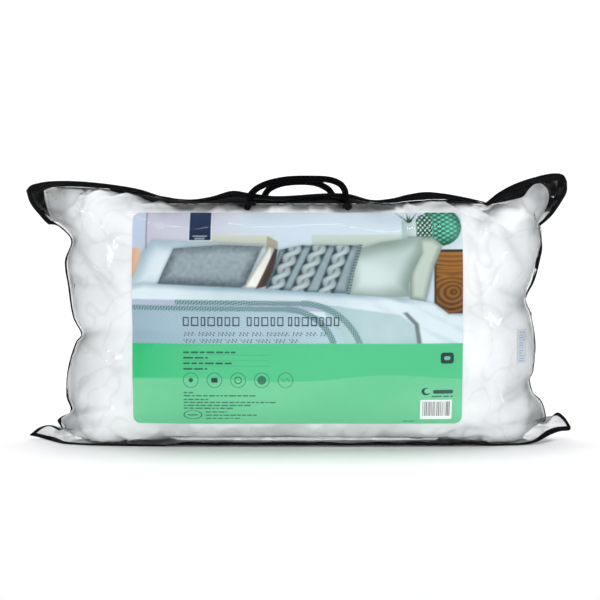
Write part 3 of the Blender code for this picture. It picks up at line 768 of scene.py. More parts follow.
def crumple(x, z, u, v, seed):
    """How far the film stands off its smooth shape: gathers along the seams and soft crumples."""
    edge = np.minimum(np.minimum(u, 1 - u) * BAG_WIDTH, np.minimum(v, 1 - v) * BAG_HEIGHT)
    gathers = field(x, z, 62.0, seed) * np.exp(-((edge / 0.02) ** 1.5)) * 0.0034
    ridged = 1 - 2 * np.abs(field(x, z, 21.0, seed + 5.0))
    fine = 1 - 2 * np.abs(field(x, z, 48.0, seed + 9.0))
    open_part = smooth(0.0, 0.012, edge)
    over_card = 1 - 0.75 * over_the_card(x, z)
    return gathers + open_part * over_card * (0.0011 * ridged + 0.0005 * fine)


def make_front_field():
    """Smooth front of the film as a table of depths over (x, z), for the layers behind it."""
    u, v = np.meshgrid(np.linspace(0, 1, 161), np.linspace(0, 1, 81))
    points = film_point(u, v, -1).reshape(-1, 3)
    tree = BVHTree.FromPolygons([tuple(p) for p in points], [tuple(f) for f in quads(81, 161)])
    xs, zs = np.linspace(-0.4, 0.4, 241), np.linspace(0.0, 0.39, 118)
    depths = np.zeros((len(zs), len(xs)))
    for row, z in enumerate(zs):
        for column, x in enumerate(xs):
            hit = tree.ray_cast(Vector((x, -1, z)), Vector((0, 1, 0)))[0]
            depths[row, column] = -hit.y if hit else 0.0
    return xs, zs, depths


FIELD_X, FIELD_Z, FIELD_DEPTH = make_front_field()


def front_depth(x, z):
    """Distance of the smooth front film from the middle plane at (x, z)."""
    x, z = np.asarray(x, float), np.asarray(z, float)
    a = np.clip((x - FIELD_X[0]) / (FIELD_X[1] - FIELD_X[0]), 0, len(FIELD_X) - 1.001)
    b = np.clip((z - FIELD_Z[0]) / (FIELD_Z[1] - FIELD_Z[0]), 0, len(FIELD_Z) - 1.001)
    i, j = a.astype(int), b.astype(int)
    s, t = a - i, b - j
    low = FIELD_DEPTH[j, i] * (1 - s) + FIELD_DEPTH[j, i + 1] * s
    high = FIELD_DEPTH[j + 1, i] * (1 - s) + FIELD_DEPTH[j + 1, i + 1] * s
    return low * (1 - t) + high * t


def make_film(side, name, node_name, seed):
    u, v = np.meshgrid(np.linspace(0.0, 1.0, FILM_COLUMNS + 1), np.linspace(0.0, 1.0, FILM_ROWS + 1))
    points = film_point(u, v, side, FILM_OFF)
    x, z = points[..., 0], points[..., 2]
    push = crumple(x, z, u, v, seed)
    if side < 0:
        push = push + creases(x, z)
    push = np.maximum(push, -0.0012)
    points[..., 1] += side * push
    # Near the seams the panel turns edge-on, so the crumples also move it in its own plane.
    near_seam = np.exp(-((np.minimum(u, 1 - u) / 0.05) ** 2))
    points[..., 0] += (0.5 - u) * -0.004 * smooth(0.0, 0.002, push) * near_seam
    # Grey for the material to mix into what the film lets through: painted shade on the front film, and dark
    # smudges over the cord ends.
    film_grey_and_painted_shade = np.zeros_like(x)
    if side < 0:
        cloudy = 0.5 + 0.5 * field(x, z, 26.0, 3.0)
        streaky = 0.5 + 0.5 * field(x * 0.35, z * 2.6, 40.0, 8.0)
        # Painted shade along the top: a streaky grey band where the film is seen at a grazing angle over the
        # black gusset.
        band = smooth(0.329, 0.346, z + 0.006 * (cloudy - 0.5)) * (1 - smooth(0.2, 0.27, np.abs(x + 0.01)))
        film_grey_and_painted_shade += 0.9 * band * np.clip(streaky * 1.8 - 0.55, 0, 1) * (0.35 + 0.65 * cloudy)
        # Streaky grey painted over the corner ears.
        ears = smooth(0.318, 0.352,
            np.abs(x)) * (1 - smooth(0.03, 0.06, z) * (1 - smooth(0.29, 0.315, z)))
        film_grey_and_painted_shade += 0.34 * ears * (0.5 + 0.7 * streaky)
        # Dark smudges painted over the cord ends near the top.
        for foot in (-0.078, 0.062):
            film_grey_and_painted_shade += 0.9 * np.exp(-(((x - foot) / 0.011) ** 4) - ((z - 0.343) / 0.0065) ** 4)
        # Painted shade along the side seams, where the film is gathered.
        edge = np.minimum(u, 1 - u) * BAG_WIDTH
        film_grey_and_painted_shade += 0.2 * np.exp(-((edge / 0.012) ** 2)) * (0.4 + 0.6 * cloudy)
        # Painted shade: faint grey lines of fine wrinkles, away from the card.
        lines = 1 - np.abs(field(x, z, 30.0, 44.0)) * 14
        film_grey_and_painted_shade += 0.1 * np.clip(lines, 0, 1) * (1 - over_the_card(x, z)) * smooth(0.0, 0.5, cloudy)
        # Painted shadow just beside each crease.
        film_grey_and_painted_shade += 0.14 * np.clip(creases(x + 0.0022, z - 0.0012) / 0.0018, 0, 1)
    if side > 0:
        # The back panel carries on under the pillow to the front seam, flat on the floor.
        rows = np.linspace(-1.0, 0.0, 13)[:-1]
        base = film_point(np.broadcast_to(u[0], (12, u.shape[1])), np.zeros((12, u.shape[1])), 1, 0.0006)
        base[..., 1] *= np.clip(rows * 2 + 1, -0.985, 1.0)[:, None]
        base[..., 2] = np.where(on_floor(base[..., 0]) > 0.98, 0.0005, base[..., 2])
        points = np.concatenate([base, points])
        film_grey_and_painted_shade = np.concatenate([np.zeros(base.shape[:2]), film_grey_and_painted_shade])
    floor = np.where(on_floor(points[..., 0]) > 0.5, 0.0004, 0.0006)
    points[..., 2] = np.maximum(points[..., 2], floor)
    uv = np.stack([points[..., 0], points[..., 2]], -1)
    ob = grid_object(name, points, FILM, uv, flip=side > 0)
    add_value(ob, "film_grey_and_painted_shade", np.clip(film_grey_and_painted_shade, 0, 1))
    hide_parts(node_name)
    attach(ob, "bag")


make_film(-1, "front_film", "film_front", 2.0)
make_film(1, "back_film", "film_back", 31.0)


# ---------------------------------------------------------------- the pillow


def pillow_points():
    """Rows of the cover from the middle of its base, up the panel, to the middle of its top."""
    u = np.linspace(0, 1, PILLOW_COLUMNS + 1)
    # Closer together at both seams.
    v = 0.5 - 0.5 * np.cos(np.pi * np.linspace(0, 1, PILLOW_ROWS + 1))
    v = lerp(np.linspace(0, 1, PILLOW_ROWS + 1), v, 0.7)
    rows = []
    for side in (-1, 1):
        uu, vv = np.meshgrid(u, v)
        place = PILLOW.at(uu, vv)
        depth = pillow_depth(uu, vv)
        panel = np.stack([place[..., 0], side * depth, place[..., 1]], -1)
        base = [panel[0] * (1, k / BASE_STEPS, 1) for k in range(BASE_STEPS)]
        top = []
        for k in range(TOP_STEPS - 1, -1, -1):
            ring = panel[-1] * (1, k / TOP_STEPS, 1)
            ring[:, 2] += 0.0012 * (1 - (k / TOP_STEPS) ** 2)
            top.append(ring)
        rows.append(np.concatenate([np.stack(base), panel, np.stack(top)]))
    return rows


def closed_shell(front, back):
    """Joins two grids that share their first and last row and their end columns."""
    rows, columns = front.shape[:2]
    index_front = np.arange(rows * columns).reshape(rows, columns)
    index_back = np.full((rows, columns), -1)
    index_back[0], index_back[-1] = index_front[0], index_front[-1]
    index_back[:, 0], index_back[:, -1] = index_front[:, 0], index_front[:, -1]
    extra = index_back < 0
    index_back[extra] = rows * columns + np.arange(extra.sum())
    vertices = np.concatenate([front.reshape(-1, 3), back[extra]])
    faces = np.concatenate([index_quads(index_front), index_quads(index_back, True)])
    return vertices, faces, index_front, index_back


def stuff(ob, start, seam, limit):
    """Blows the cover up a little as the filling does, and keeps each point within limit of its start."""
    group = ob.vertex_groups.new(name="seam")
    group.add([int(i) for i in seam], 1.0, "REPLACE")
    cloth = ob.modifiers.new("cloth", "CLOTH")
    settings = cloth.settings
    settings.quality = 4
    settings.mass = 0.3
    settings.tension_stiffness = 12
    settings.compression_stiffness = 6
    settings.shear_stiffness = 4
    settings.bending_stiffness = 0.15
    settings.use_pressure = True
    settings.uniform_pressure_force = 4
    settings.shrink_min = -0.1
    settings.vertex_group_mass = "seam"
    settings.effector_weights.gravity = 0
    cloth.point_cache.frame_start = 1
    cloth.point_cache.frame_end = 20
    for step in range(1, 21):
        bpy.context.scene.frame_set(step)
    shaped = ob.evaluated_get(bpy.context.evaluated_depsgraph_get())
    blown = np.empty(len(ob.data.vertices) * 3)
    shaped.to_mesh().vertices.foreach_get("co", blown)
    blown = blown.reshape(-1, 3)
    shaped.to_mesh_clear()
    ob.modifiers.clear()
    ob.vertex_groups.clear()
    bpy.context.scene.frame_set(1)
    move = blown - start
    size = np.linalg.norm(move, axis=1, keepdims=True)
    return start + move * np.minimum(1, limit / np.maximum(size, 1e-9))


def keep_inside(points, gap):
    """Moves points that reach the film back to gap inside it."""
    deepest = np.maximum(front_depth(points[:, 0], points[:, 2]) - gap, 0.0006)
    points[:, 1] = np.clip(points[:, 1], -deepest, deepest)
    points[:, 2] = np.maximum(points[:, 2], 0.0022)
    return points


def make_pillow():
    front, back = pillow_points()
    vertices, faces, index_front, index_back = closed_shell(front, back)
    x, z = vertices[:, 0], vertices[:, 2]
    lumps = 0.0032 * field(x, z, 13.0, 17.0) + 0.0018 * field(x, z, 34.0, 19.0)
    lumps += 0.0016 * (1 - 3 * np.abs(field(x * 0.8, z * 1.3, 24.0, 51.0)))
    edge = np.minimum.reduce([x + 0.34, 0.34 - x, z * 0 + 0.2])
    tucks = 0.0036 * field(x * 0.5, z * 2.2, 30.0, 23.0) * np.exp(-((np.maximum(edge, 0) / 0.045) ** 2))
    away = smooth(0.006, 0.03, np.abs(vertices[:, 1]))
    vertices[:, 1] += np.sign(vertices[:, 1]) * (lumps + tucks - 0.002) * away
    ob = add_object("pillow_cover", vertices, faces, COTTON, np.stack([x, z], -1))
    seam = np.unique(
        np.concatenate([index_front[:, 0], index_front[:, -1], index_front[0], index_front[-1]])
    )
    vertices = stuff(ob, vertices, seam, 0.009)
    vertices = keep_inside(vertices, UNDER_FILM)
    ob.data.vertices.foreach_set("co", vertices.ravel())
    ob.data.update()
    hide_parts("cover_front", "cover_back")
    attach(ob, "bag")

    # The filling is the same form, just inside the cover.
    normals = np.empty(len(ob.data.vertices) * 3)
    ob.data.vertices.foreach_get("normal", normals)
    inner = vertices - 0.0016 * normals.reshape(-1, 3)
    filling = add_object("fibre_filling", inner, faces, FIBRE)
    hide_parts("fibre_fill")
    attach(filling, "bag")

    # Piping in the seam, all round.
    loop = np.concatenate(
        [index_front[0, :-1], index_front[:-1, -1], index_front[-1, :0:-1], index_front[:0:-1, 0]]
    )
    path = vertices[loop]
    path[:, 2] = np.maximum(path[:, 2], PIPING_RADIUS + 0.0008)
    keep = [0]
    for i in range(1, len(path)):
        if np.linalg.norm(path[i] - path[keep[-1]]) > 0.0035:
            keep.append(i)
    piping = tube_mesh("seam_piping", path[keep], PIPING_RADIUS, SATIN, sides=8, cyclic=True)
    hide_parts("cover_piping")
    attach(piping, "bag")


make_pillow()


# ---------------------------------------------------------------- binding, gusset and zip


def seam_loop(step=0.0035):
    """(side, s) all round the bag: along the base, up the right, back along the top, down the left."""
    stations = []
    for side, curve, forward in (
        ("bottom", BAG.bottom, True), ("right", BAG.right, True),
        ("top", BAG.top, False), ("left", BAG.left, False),
    ):
        s = np.linspace(0, 1, int(curve.length / step) + 1)
        stations += [(side, float(k)) for k in (s[:-1] if forward else s[:0:-1])]
    return stations


def seam_edges(side, s):
    """Outer and inner edge of the front binding at one place."""
    u = {"left": 0.0, "right": 1.0}.get(side, s)
    v = {"bottom": 0.0, "top": 1.0}.get(side, s)
    outer = getattr(BAG, side).at(s)
    place = inside(u, v)
    inner = BAG.at(*place)
    depth = -float(bag_depth(u, v)) - 0.0004
    if side == "top":
        top_width = outer[1] - inner[1]
        return np.array([outer[0], depth + 0.25 * top_width, outer[1]]), np.array([inner[0], depth,
            inner[1]])
    if side == "bottom":
        flat = float(on_floor(outer[0]))
        # Painted shadow: along the middle of the base the binding's outer edge is turned up into a black lip
        # a few millimetres tall, standing in for the contact shadow under the bag. Elsewhere on the floor it
        # lies flat.
        shows = float(smooth(-0.2, -0.16, outer[0]) * (1 - smooth(0.23, 0.27, outer[0])))
        roll = 0.0008 + 0.0072 * shows * (0.75 + 0.6 * noise.noise(Vector((outer[0] * 22, 4.0, 0))))
        inner3 = np.array([inner[0], depth + 0.004 * flat, max(inner[1], lerp(0.0, 0.0011, flat))])
        outer3 = np.array([outer[0], depth - 0.0058 * flat, lerp(outer[1], roll, flat)])
        return outer3, inner3
    return np.array([outer[0], -0.0004, outer[1]]), np.array([inner[0], -0.0008, inner[1]])


def make_bindings():
    edges = [seam_edges(side, s) for side, s in seam_loop()]
    outer = np.array([e[0] for e in edges])
    inner = np.array([e[1] for e in edges])
    pucker = np.array([noise.noise(Vector((p[0] * 70, p[2] * 70, 5.0))) for p in outer])
    outer[:, 1] += 0.0008 * pucker
    inner[:, 1] += 0.0005 * pucker
    outer[:, 2] = np.maximum(outer[:, 2], 0.001)
    inner[:, 2] = np.maximum(inner[:, 2], 0.001)
    ob = strip_mesh("seam_binding", outer, inner, BINDING_THICKNESS, BINDING, True)
    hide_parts("binding_perimeter")
    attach(ob, "bag")

    s = np.linspace(0.02, 0.985, 220)
    edges = [seam_edges("top", float(k)) for k in s]
    outer = np.array([e[0] for e in edges])
    inner = np.array([e[1] for e in edges])
    for line in (outer, inner):
        line[:, 1] = -line[:, 1] + 0.0004
        line[:, 2] -= 0.0008
    ob = strip_mesh("back_top_binding", outer, inner, BINDING_THICKNESS, BINDING, False)
    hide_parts("binding_back_top")
    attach(ob, "bag")


make_bindings()


def make_gusset():
    """Two strips from the top seams down to the zip, drawn together towards the corner ears."""
    s = np.linspace(0.05, 0.965, 240)
    for name, side, node_name in (("front_gusset", -1, "gusset_front"), ("back_gusset", 1, "gusset_back")):
        place = BAG.at(*inside(s, np.ones_like(s)))
        x, z = place[:, 0], place[:, 1]
        depth = np.maximum(bag_depth(s, 1.0) - 0.0022, 0.0012)
        ear = smooth(0.25, 0.29, np.abs(x))
        wave = np.array([noise.noise(Vector((a * 30, side * 3.0, 1.0))) for a in x])
        low_y = side * lerp(0.0085, 0.001, ear)
        low_z = lerp(ZIP_Z + 0.001, z - 0.0015, ear)
        rows = []
        for t in np.linspace(0, 1, 9):
            y = lerp(side * depth, low_y, t)
            sag = 0.0016 * wave * math.sin(math.pi * t) * (1 - ear)
            rows.append(np.stack([x, y, lerp(z - 0.001, low_z, t) + sag], -1))
        points = np.stack(rows)
        ob = grid_object(name, points, NONWOVEN, points[..., :2].copy(), flip=side > 0)
        thicken(ob, GUSSET_THICKNESS, 0)
        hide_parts(node_name)
        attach(ob, "bag")

    # Its folded ends fill the tips of both top ears.
    ends = (
        ("left_gusset_end", ((-0.3915, 0.36), (-0.37, 0.3705), (-0.356, 0.3712), (-0.35, 0.356),
         (-0.356, 0.34), (-0.362, 0.324), (-0.374, 0.332), (-0.386, 0.344))),
        ("right_gusset_end", ((0.269, 0.3435), (0.29, 0.3575), (0.312, 0.369), (0.34, 0.379),
         (0.365, 0.383), (0.379, 0.38), (0.382, 0.373), (0.3825, 0.36), (0.3735, 0.345),
         (0.364, 0.333), (0.35, 0.33), (0.34, 0.342), (0.318, 0.344), (0.292, 0.34))),
    )
    for name, outline in ends:
        deselect()
        mesh = bpy.data.meshes.new(name)
        mesh.from_pydata([(a, 0.003, b) for a, b in outline], [], [list(range(len(outline)))])
        mesh.materials.append(NONWOVEN)
        ob = bpy.data.objects.new(name, mesh)
        bpy.context.scene.collection.objects.link(ob)
        thicken(ob, GUSSET_THICKNESS, 0)
        recalculate(ob)
        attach(ob, "bag")


make_gusset()


def make_zip():
    """Teeth of the nylon coil, a pair every 2.4 mm, on the tapes of the frame."""
    for side, node_name in ((-1, "zip_coil_front"), (1, "zip_coil_back")):
        vertices, faces = [], []
        count = 196
        for k in range(count):
            x = -ZIP_HALF + 0.0012 + k * (2 * ZIP_HALF - 0.0024) / (count - 1) + side * 0.0005
            first = len(vertices)
            for y, slim in ((0.0004, 0.55), (0.0011, 1.0), (0.0028, 0.8)):
                for a, b in ((-1, -1), (1, -1), (1, 1), (-1, 1)):
                    vertices.append((x + a * 0.0006 * slim, side * y, ZIP_Z + b * 0.001 * slim))
            for ring in range(2):
                for c in range(4):
                    d = (c + 1) % 4
                    at = first + ring * 4
                    faces.append((at + c, at + d, at + 4 + d, at + 4 + c))
            faces.append((first + 3, first + 2, first + 1, first))
            faces.append((first + 8, first + 9, first + 10, first + 11))
        ob = add_object("zip_teeth_front" if side < 0 else "zip_teeth_back", vertices, faces, NYLON)
        ob.data.shade_flat()
        recalculate(ob)
        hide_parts(node_name)
        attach(ob, "bag")
    for name, material in (
        ("zip_tape_front", ZIP_TAPE), ("zip_tape_back", ZIP_TAPE), ("zip_stop_left", ZINC),
        ("zip_stop_right", ZINC), ("zip_slider", ZINC), ("zip_pull", ZINC),
    ):
        frame["nodes"][name].data.materials.clear()
        frame["nodes"][name].data.materials.append(material)


make_zip()


# ---------------------------------------------------------------- handles


def handle_path(side, route, height):
    """The cord from its sewn end on the film, up through the seam and over the arch."""
    y = side * HANDLE_Y
    arch = [(x, y + lean, height + rise) for x, lean, rise in route]
    left, right = arch[0], arch[-1]
    down = ((0.0008, 0.0035, -0.005), (0.002, 0.0085, -0.0105), (0.003, 0.014, -0.015))
    before = [(left[0] - a, y + side * b, left[2] + c) for a, b, c in reversed(down)]
    after = [(right[0] + a, y + side * b, right[2] + c) for a, b, c in down]
    curve = Curve(before + arch + after)
    return curve.at(np.linspace(0, 1, 110))


def make_handles():
    for name, side, route, height, body in (
        ("front", -1, FRONT_HANDLE, FRONT_PIVOT_Z, "front_handle"),
        ("back", 1, BACK_HANDLE, BACK_PIVOT_Z, "back_handle"),
    ):
        path = handle_path(side, route, height)
        ob = tube_mesh(f"{name}_handle_cord", path, HANDLE_RADIUS, CORD, sides=24)
        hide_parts(f"handle_{name}")
        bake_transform(ob)


make_handles()


# ---------------------------------------------------------------- the printed card


def rounded(x, y, box, corner=0.0):
    """Signed distance in millimetres to a rounded rectangle (x0, y0, x1, y1), negative inside."""
    x0, y0, x1, y1 = box
    a = np.abs(x - (x0 + x1) / 2) - (x1 - x0) / 2 + corner
    b = np.abs(y - (y0 + y1) / 2) - (y1 - y0) / 2 + corner
    return np.hypot(np.maximum(a, 0), np.maximum(b, 0)) + np.minimum(np.maximum(a, b), 0) - corner


def polygon(x, y, corners):
    """Signed distance in millimetres to a polygon, negative inside."""
    nearest = np.full(x.shape, 1e9)
    within = np.zeros(x.shape, bool)
    for (ax, ay), (bx, by) in zip(corners, corners[1:] + corners[:1]):
        ex, ey = bx - ax, by - ay
        wx, wy = x - ax, y - ay
        t = np.clip((wx * ex + wy * ey) / (ex * ex + ey * ey), 0, 1)
        nearest = np.minimum(nearest, np.hypot(wx - t * ex, wy - t * ey))
        crosses = ((ay > y) != (by > y)) & (x < (bx - ax) * (y - ay) / ((by - ay) or 1e-9) + ax)
        within ^= crosses
    return np.where(within, -nearest, nearest)


class Print:
    """The card's picture and small print, painted in layers over places in millimetres."""

    def __init__(self, x, y, soft):
        self.x, self.y, self.soft = x, y, soft
        self.colour = np.zeros((*x.shape, 3))

    def noise(self, scale, seed, stretch=1.0):
        return field(self.x * stretch / 1000, self.y / 1000, scale, seed)

    def lay(self, distance, colour, share=1.0, blur=0.0):
        """Paints colour where distance is negative."""
        if isinstance(colour, str):
            colour = np.array(linear(colour)[:3])
        cover = (1 - smooth(-self.soft - blur, self.soft + blur, distance)) * share
        self.colour += (colour - self.colour) * cover[..., None]

    def box(self, box, colour, share=1.0, blur=0.0):
        self.lay(rounded(self.x, self.y, box), colour, share, blur)

    def shape(self, corners, colour, share=1.0, blur=0.0):
        self.lay(polygon(self.x, self.y, corners), colour, share, blur)

    def blend(self, low, high, t):
        a, b = np.array(linear(low)[:3]), np.array(linear(high)[:3])
        return a + (b - a) * np.clip(t, 0, 1)[..., None]

    def bars(self, x0, x1, y, height, colour, seed, word, share=0.85):
        """A line of small print as plain bars, each about word millimetres long."""
        rng = np.random.default_rng(seed)
        at = x0
        while at < x1 - height:
            end = min(at + word * rng.uniform(0.5, 1.5), x1)
            self.lay(rounded(self.x, self.y, (at, y, end, y + height), height * 0.3), colour, share)
            at = end + height * 0.9

    def frames(self, x0, x1, y, height, stroke, colour, seed):
        """A word of the title as a row of thin upright frames."""
        rng = np.random.default_rng(seed)
        at = x0
        while at < x1 - height * 0.4:
            end = min(at + height * rng.uniform(0.45, 0.85), x1)
            box = rounded(self.x, self.y, (at, y, end, y + height))
            self.lay(np.abs(box + stroke / 2) - stroke / 2, colour, 0.92)
            at = end + height * 0.24

    def scribble(self, x0, x1, y, height, colour, seed, word):
        """A line of handwriting as wavy strokes."""
        rng = np.random.default_rng(seed)
        at = x0
        while at < x1 - height:
            end = min(at + word * rng.uniform(0.6, 1.5), x1)
            wave = y + height * (0.5 + 0.42 * np.sin((self.x - at + 0.35 * self.y) * 6.4 / height))
            beyond = np.abs(self.x - (at + end) / 2) - (end - at) / 2
            line = np.maximum(np.abs(self.y - wave) - height * 0.17, beyond)
            self.lay(line, colour, 0.85)
            at = end + height * 0.8

    def cushion(self, corners, low, high, grain=0.0, puff=14.0, fall=0.0):
        """A puffed shape: darker towards its edges, with a soft shadow round it."""
        edge = polygon(self.x, self.y, corners)
        light = 0.2 + 0.7 * smooth(0.0, -puff, edge) + fall * (self.y - corners[0][1]) / 60 + grain
        self.lay(edge - 2.0, "#51666F", 0.3, 3.0)
        self.lay(edge, self.blend(low, high, light), 1.0, 0.4)


def plait(x, y, top, bottom, half, pitch):
    """Relief of a two-strand plait from 0 to 1 along a line, and how far a place is from its middle."""
    length = math.hypot(bottom[0] - top[0], bottom[1] - top[1])
    way = ((bottom[0] - top[0]) / length, (bottom[1] - top[1]) / length)
    along = (x - top[0]) * way[0] + (y - top[1]) * way[1]
    across = (x - top[0]) * way[1] - (y - top[1]) * way[0]
    turn = along * math.pi / pitch
    relief = np.zeros_like(x)
    for sign in (-1, 1):
        strand = across - sign * half * 0.5 * np.sin(turn)
        over = 0.72 + 0.28 * sign * np.cos(turn)
        relief = np.maximum(relief, over * np.clip(1 - (strand / (half * 0.52)) ** 2, 0, 1))
    return relief, np.abs(across) - half


def paint(p):
    """A made-bed scene above, a green information panel below, all of it plain shapes."""
    x, y = p.x, p.y
    # Wall, with a panel and its joint at the left, and a low pale headboard in two parts.
    p.colour[:] = p.blend("#C6CFDC", "#CFDDE6", (x - 60) / 330 + 0.12 * p.noise(12, 1.0))
    p.box((19, 200, 150, 300), p.blend("#C3C1CF", "#CDD0DB", (x - 30) / 110), 0.85, 1.5)
    p.box((-5, 200, 18, 300), "#BCC9DB", 0.8, 2)
    p.box((18.6, 236, 20.2, 300), "#77788C", 0.8)
    p.box((78, 246, 196, 264), p.blend("#B4BAAA", "#CDD2C4", (y - 246) / 20), 0.9, 0.6)
    p.box((250, 240, 426, 265), p.blend("#A9B7AE", "#C6D2C8", (y - 240) / 26), 0.9, 0.6)
    p.shape([(188, 263), (203, 255), (203, 243), (186, 243)], "#A3A08B", 0.95, 0.5)
    p.box((-5, 196, 12, 246), p.blend("#D39A6E", "#E9C3A0", (x + 5) / 18), 0.9, 1.0)
    # Side table: a white shelf over a block of timber with a swirling grain.
    p.box((412, 244.5, 470, 251), "#D6E3E8")
    p.box((420, 240.5, 470, 244.6), "#17120F", 0.95)
    swirl = np.hypot((x - 448) * 0.8, y - 186) * smooth(222, 206, y) + y * smooth(206, 222, y)
    grain = 0.5 + 0.5 * np.sin(swirl * 1.05 + 9.0 * p.noise(16, 2.0))
    light = 0.48 * grain + 0.42 * smooth(150, 236, y) + 0.22 * p.noise(30, 2.5, 0.3)
    p.box((421, 100, 470, 241), p.blend("#2F1706", "#B27A3C", light))
    p.box((419.5, 120, 422.5, 241), "#1D120A", 0.9, 0.4)
    # A potted plant and a faceted glass jar on the shelf.
    p.box((376, 256, 398, 284), p.blend("#A6BABB", "#D2DEDD", (x - 376) / 22), 0.95)
    for k in range(7):
        tip = (366 + k * 5.5, 296 - (k % 3) * 4)
        p.shape([(384, 281), (388, 281), tip], ("#0D3A20", "#2E7A3E", "#123F2A")[k % 3], 0.95)
    rows = (x * 0.55 + y) / 6.2
    lines = (x * 0.55 - y) / 6.2
    gem = (1 - 2 * np.abs(rows % 1 - 0.5)) * (1 - 2 * np.abs(lines % 1 - 0.5)) * 2.6
    vase = (np.hypot((x - 430) / 29.0, (y - 276) / 26.5) - 1) * 26
    shade = 0.1 + 0.75 * gem * smooth(2, -14, vase) + 0.25 * p.noise(34, 4.0)
    p.lay(vase, p.blend("#014B33", "#7FDCC2", shade))
    bottle = rounded(x, y, (396, 254, 418, 292), 8)
    spots = np.clip(1.5 * np.sin(x * 0.95 + 2 * p.noise(40, 3.0)) * np.sin(y * 0.9), 0, 1)
    p.lay(bottle, p.blend("#063C30", "#D5F2E8", spots), 0.95)
    # Pillows at the back: bluish white at the left, cream at the right, each with a flange.
    fold = p.noise(14, 6.0, 0.5)
    streak = p.noise(26, 6.5, 2.2)
    p.cushion([(30, 257), (182, 250), (150, 190), (-6, 190), (6, 216), (14, 240)], "#9DB5C3", "#DFE9EE",
              0.22 * fold + 0.16 * streak, 22.0)
    p.cushion([(384, 262), (420, 260), (432, 250), (420, 222), (408, 172), (386, 176)], "#7F9089",
        "#C9D5CB", 0.1 * fold, 9.0)
    cream = 0.26 * p.noise(16, 7.0) + 0.2 * p.noise(30, 7.5, 0.4)
    p.cushion([(300, 240), (345, 254), (402, 262), (404, 240), (386, 205), (384, 196), (386, 180),
        (298, 176)],
              "#82978F", "#D3E0DE", cream - 0.05, 24.0)
    p.cushion([(190, 248), (196, 247), (196, 222), (180, 190), (154, 190), (160, 200)], "#8E958A",
        "#F1F2EC", 0.2 * streak, 5.0)
    p.shape([(199, 246), (203, 244), (196, 196), (172, 190), (184, 214)], "#3C1C0E", 0.95, 0.6)
    # Grey knitted cushion.
    knit = 0.16 * np.sin(x * 2.3 + 2.0 * np.sin(y * 1.9)) * np.sin(y * 2.1) + 0.22 * p.noise(170, 15.0)
    p.cushion([(58, 246), (122, 251), (182, 249), (171, 224), (158, 196), (152, 192), (100, 194),
        (36, 197), (44, 216)],
              "#57666E", "#A5B3B9", knit + 0.04, 16.0, 0.3)
    # Cable-knit cushion: three slanting plaits on a ground of small stitches.
    body = [(205, 244), (236, 250), (318, 250), (306, 214), (299, 184), (250, 184), (186, 191), (196, 214)]
    ground = 0.2 * np.sin(x * 2.1) * np.sin(y * 2.1) + 0.16 * p.noise(150, 16.0)
    p.cushion(body, "#4B5E66", "#9FB2B8", ground, 8.0)
    within = polygon(x, y, body)
    for top, bottom in (((230, 254), (196, 184)), ((264, 254), (228, 180)), ((296, 254), (266, 178))):
        relief, off = plait(x, y, top, bottom, 10.5, 17.0)
        p.lay(np.maximum(off - 1.5, within), "#33454E", 0.55, 1.0)
        p.lay(np.maximum(off, within),
            p.blend("#2F424B", "#C9D8DA", relief**0.7 * 0.95 + 0.1 * ground), 0.96, 0.4)
    seam = np.abs(polygon(x, y, [(302, 184), (308, 214), (319, 250), (316, 250), (305, 214), (299, 184)]))
    p.lay(seam - 1.0, p.blend("#243640", "#8FA5AC", 0.5 + 0.5 * np.sin(y * 1.6)), 0.9)
    # Duvet with its turned-down edge, which falls away to the right in soft folds.
    folds = 0.34 * p.noise(9, 8.0, 0.35) + 0.24 * p.noise(22, 8.5, 0.4) + 0.1 * p.noise(60, 8.7)
    falling = 0.24 * np.sin((x * 0.8 + y * 1.6) * 0.16) * smooth(300, 380, x)
    duvet = [(-9, 192), (16, 197), (60, 195), (190, 189), (300, 183), (384, 176), (420, 170),
        (440, 155), (470, 156),
             (470, 90), (-9, 90)]
    p.cushion(duvet, "#8FAEBC", "#DDE8ED", 0.06 + folds + falling, 9.0)
    # Ribbed throw: lilac where it turns up at the left, with two knitted borders that run down to the right.
    ribs = 0.5 + 0.5 * np.sin((x * 0.42 + y) * 1.9)
    lift = 0.1 * p.noise(14, 9.5)
    turned_up = [(-9, 176), (60, 175), (150, 172), (240, 170), (292, 166), (270, 158), (180, 163), (-9, 166)]
    p.shape(turned_up, p.blend("#8389AE", "#C9D2E2", 0.3 + 0.6 * (0.5 + 0.5 * np.sin(x * 1.9 + y))),
        0.95, 0.6)
    side = [(262, 169), (330, 160), (372, 154), (392, 138), (398, 100), (270, 100), (280, 130)]
    p.shape(side, p.blend("#8FB0B5", "#C4DADD", 0.55 + folds), 0.9, 1.2)
    p.shape([(376, 157), (392, 140), (398, 100), (405, 100), (398, 142), (382, 158)], "#2E4A4E", 0.8, 1.4)
    throw = [(-9, 168), (120, 164), (230, 160), (270, 150), (292, 128), (300, 100), (-9, 100)]
    p.shape(throw, p.blend("#7C99AE", "#C3D9E1", 0.22 + 0.5 * ribs + (x - 90) / 600 + lift), 0.95, 0.8)
    for middle, reach, start in (((214, 92), 70.0, -9), ((236, 84), 86.0, 60)):
        ring = np.abs(np.hypot(x - middle[0], (y - middle[1]) * 1.0) - reach)
        knots = 0.5 + 0.5 * np.sin(np.arctan2(y - middle[1], x - middle[0]) * 105) * np.cos(ring * 1.6)
        border = np.where((x > middle[0]) & (y > 100), ring - 4.2, 9.0)
        flat = np.where((x > start) & (x <= middle[0]),
            np.abs(y - middle[1] - reach + (middle[0] - x) * -0.01) - 3.4, 9.0)
        p.lay(np.minimum(border, flat), p.blend("#1C484E", "#9CC2C4", knots), 0.9, 0.4)
    navy = "#0F2238"
    p.box((78.2, 255.4, 110.6, 300), "#D9E6EE", 0.9)
    p.box((79.6, 256.8, 109.2, 300), p.blend("#16233F", "#2A3C63", (y - 256) / 40))
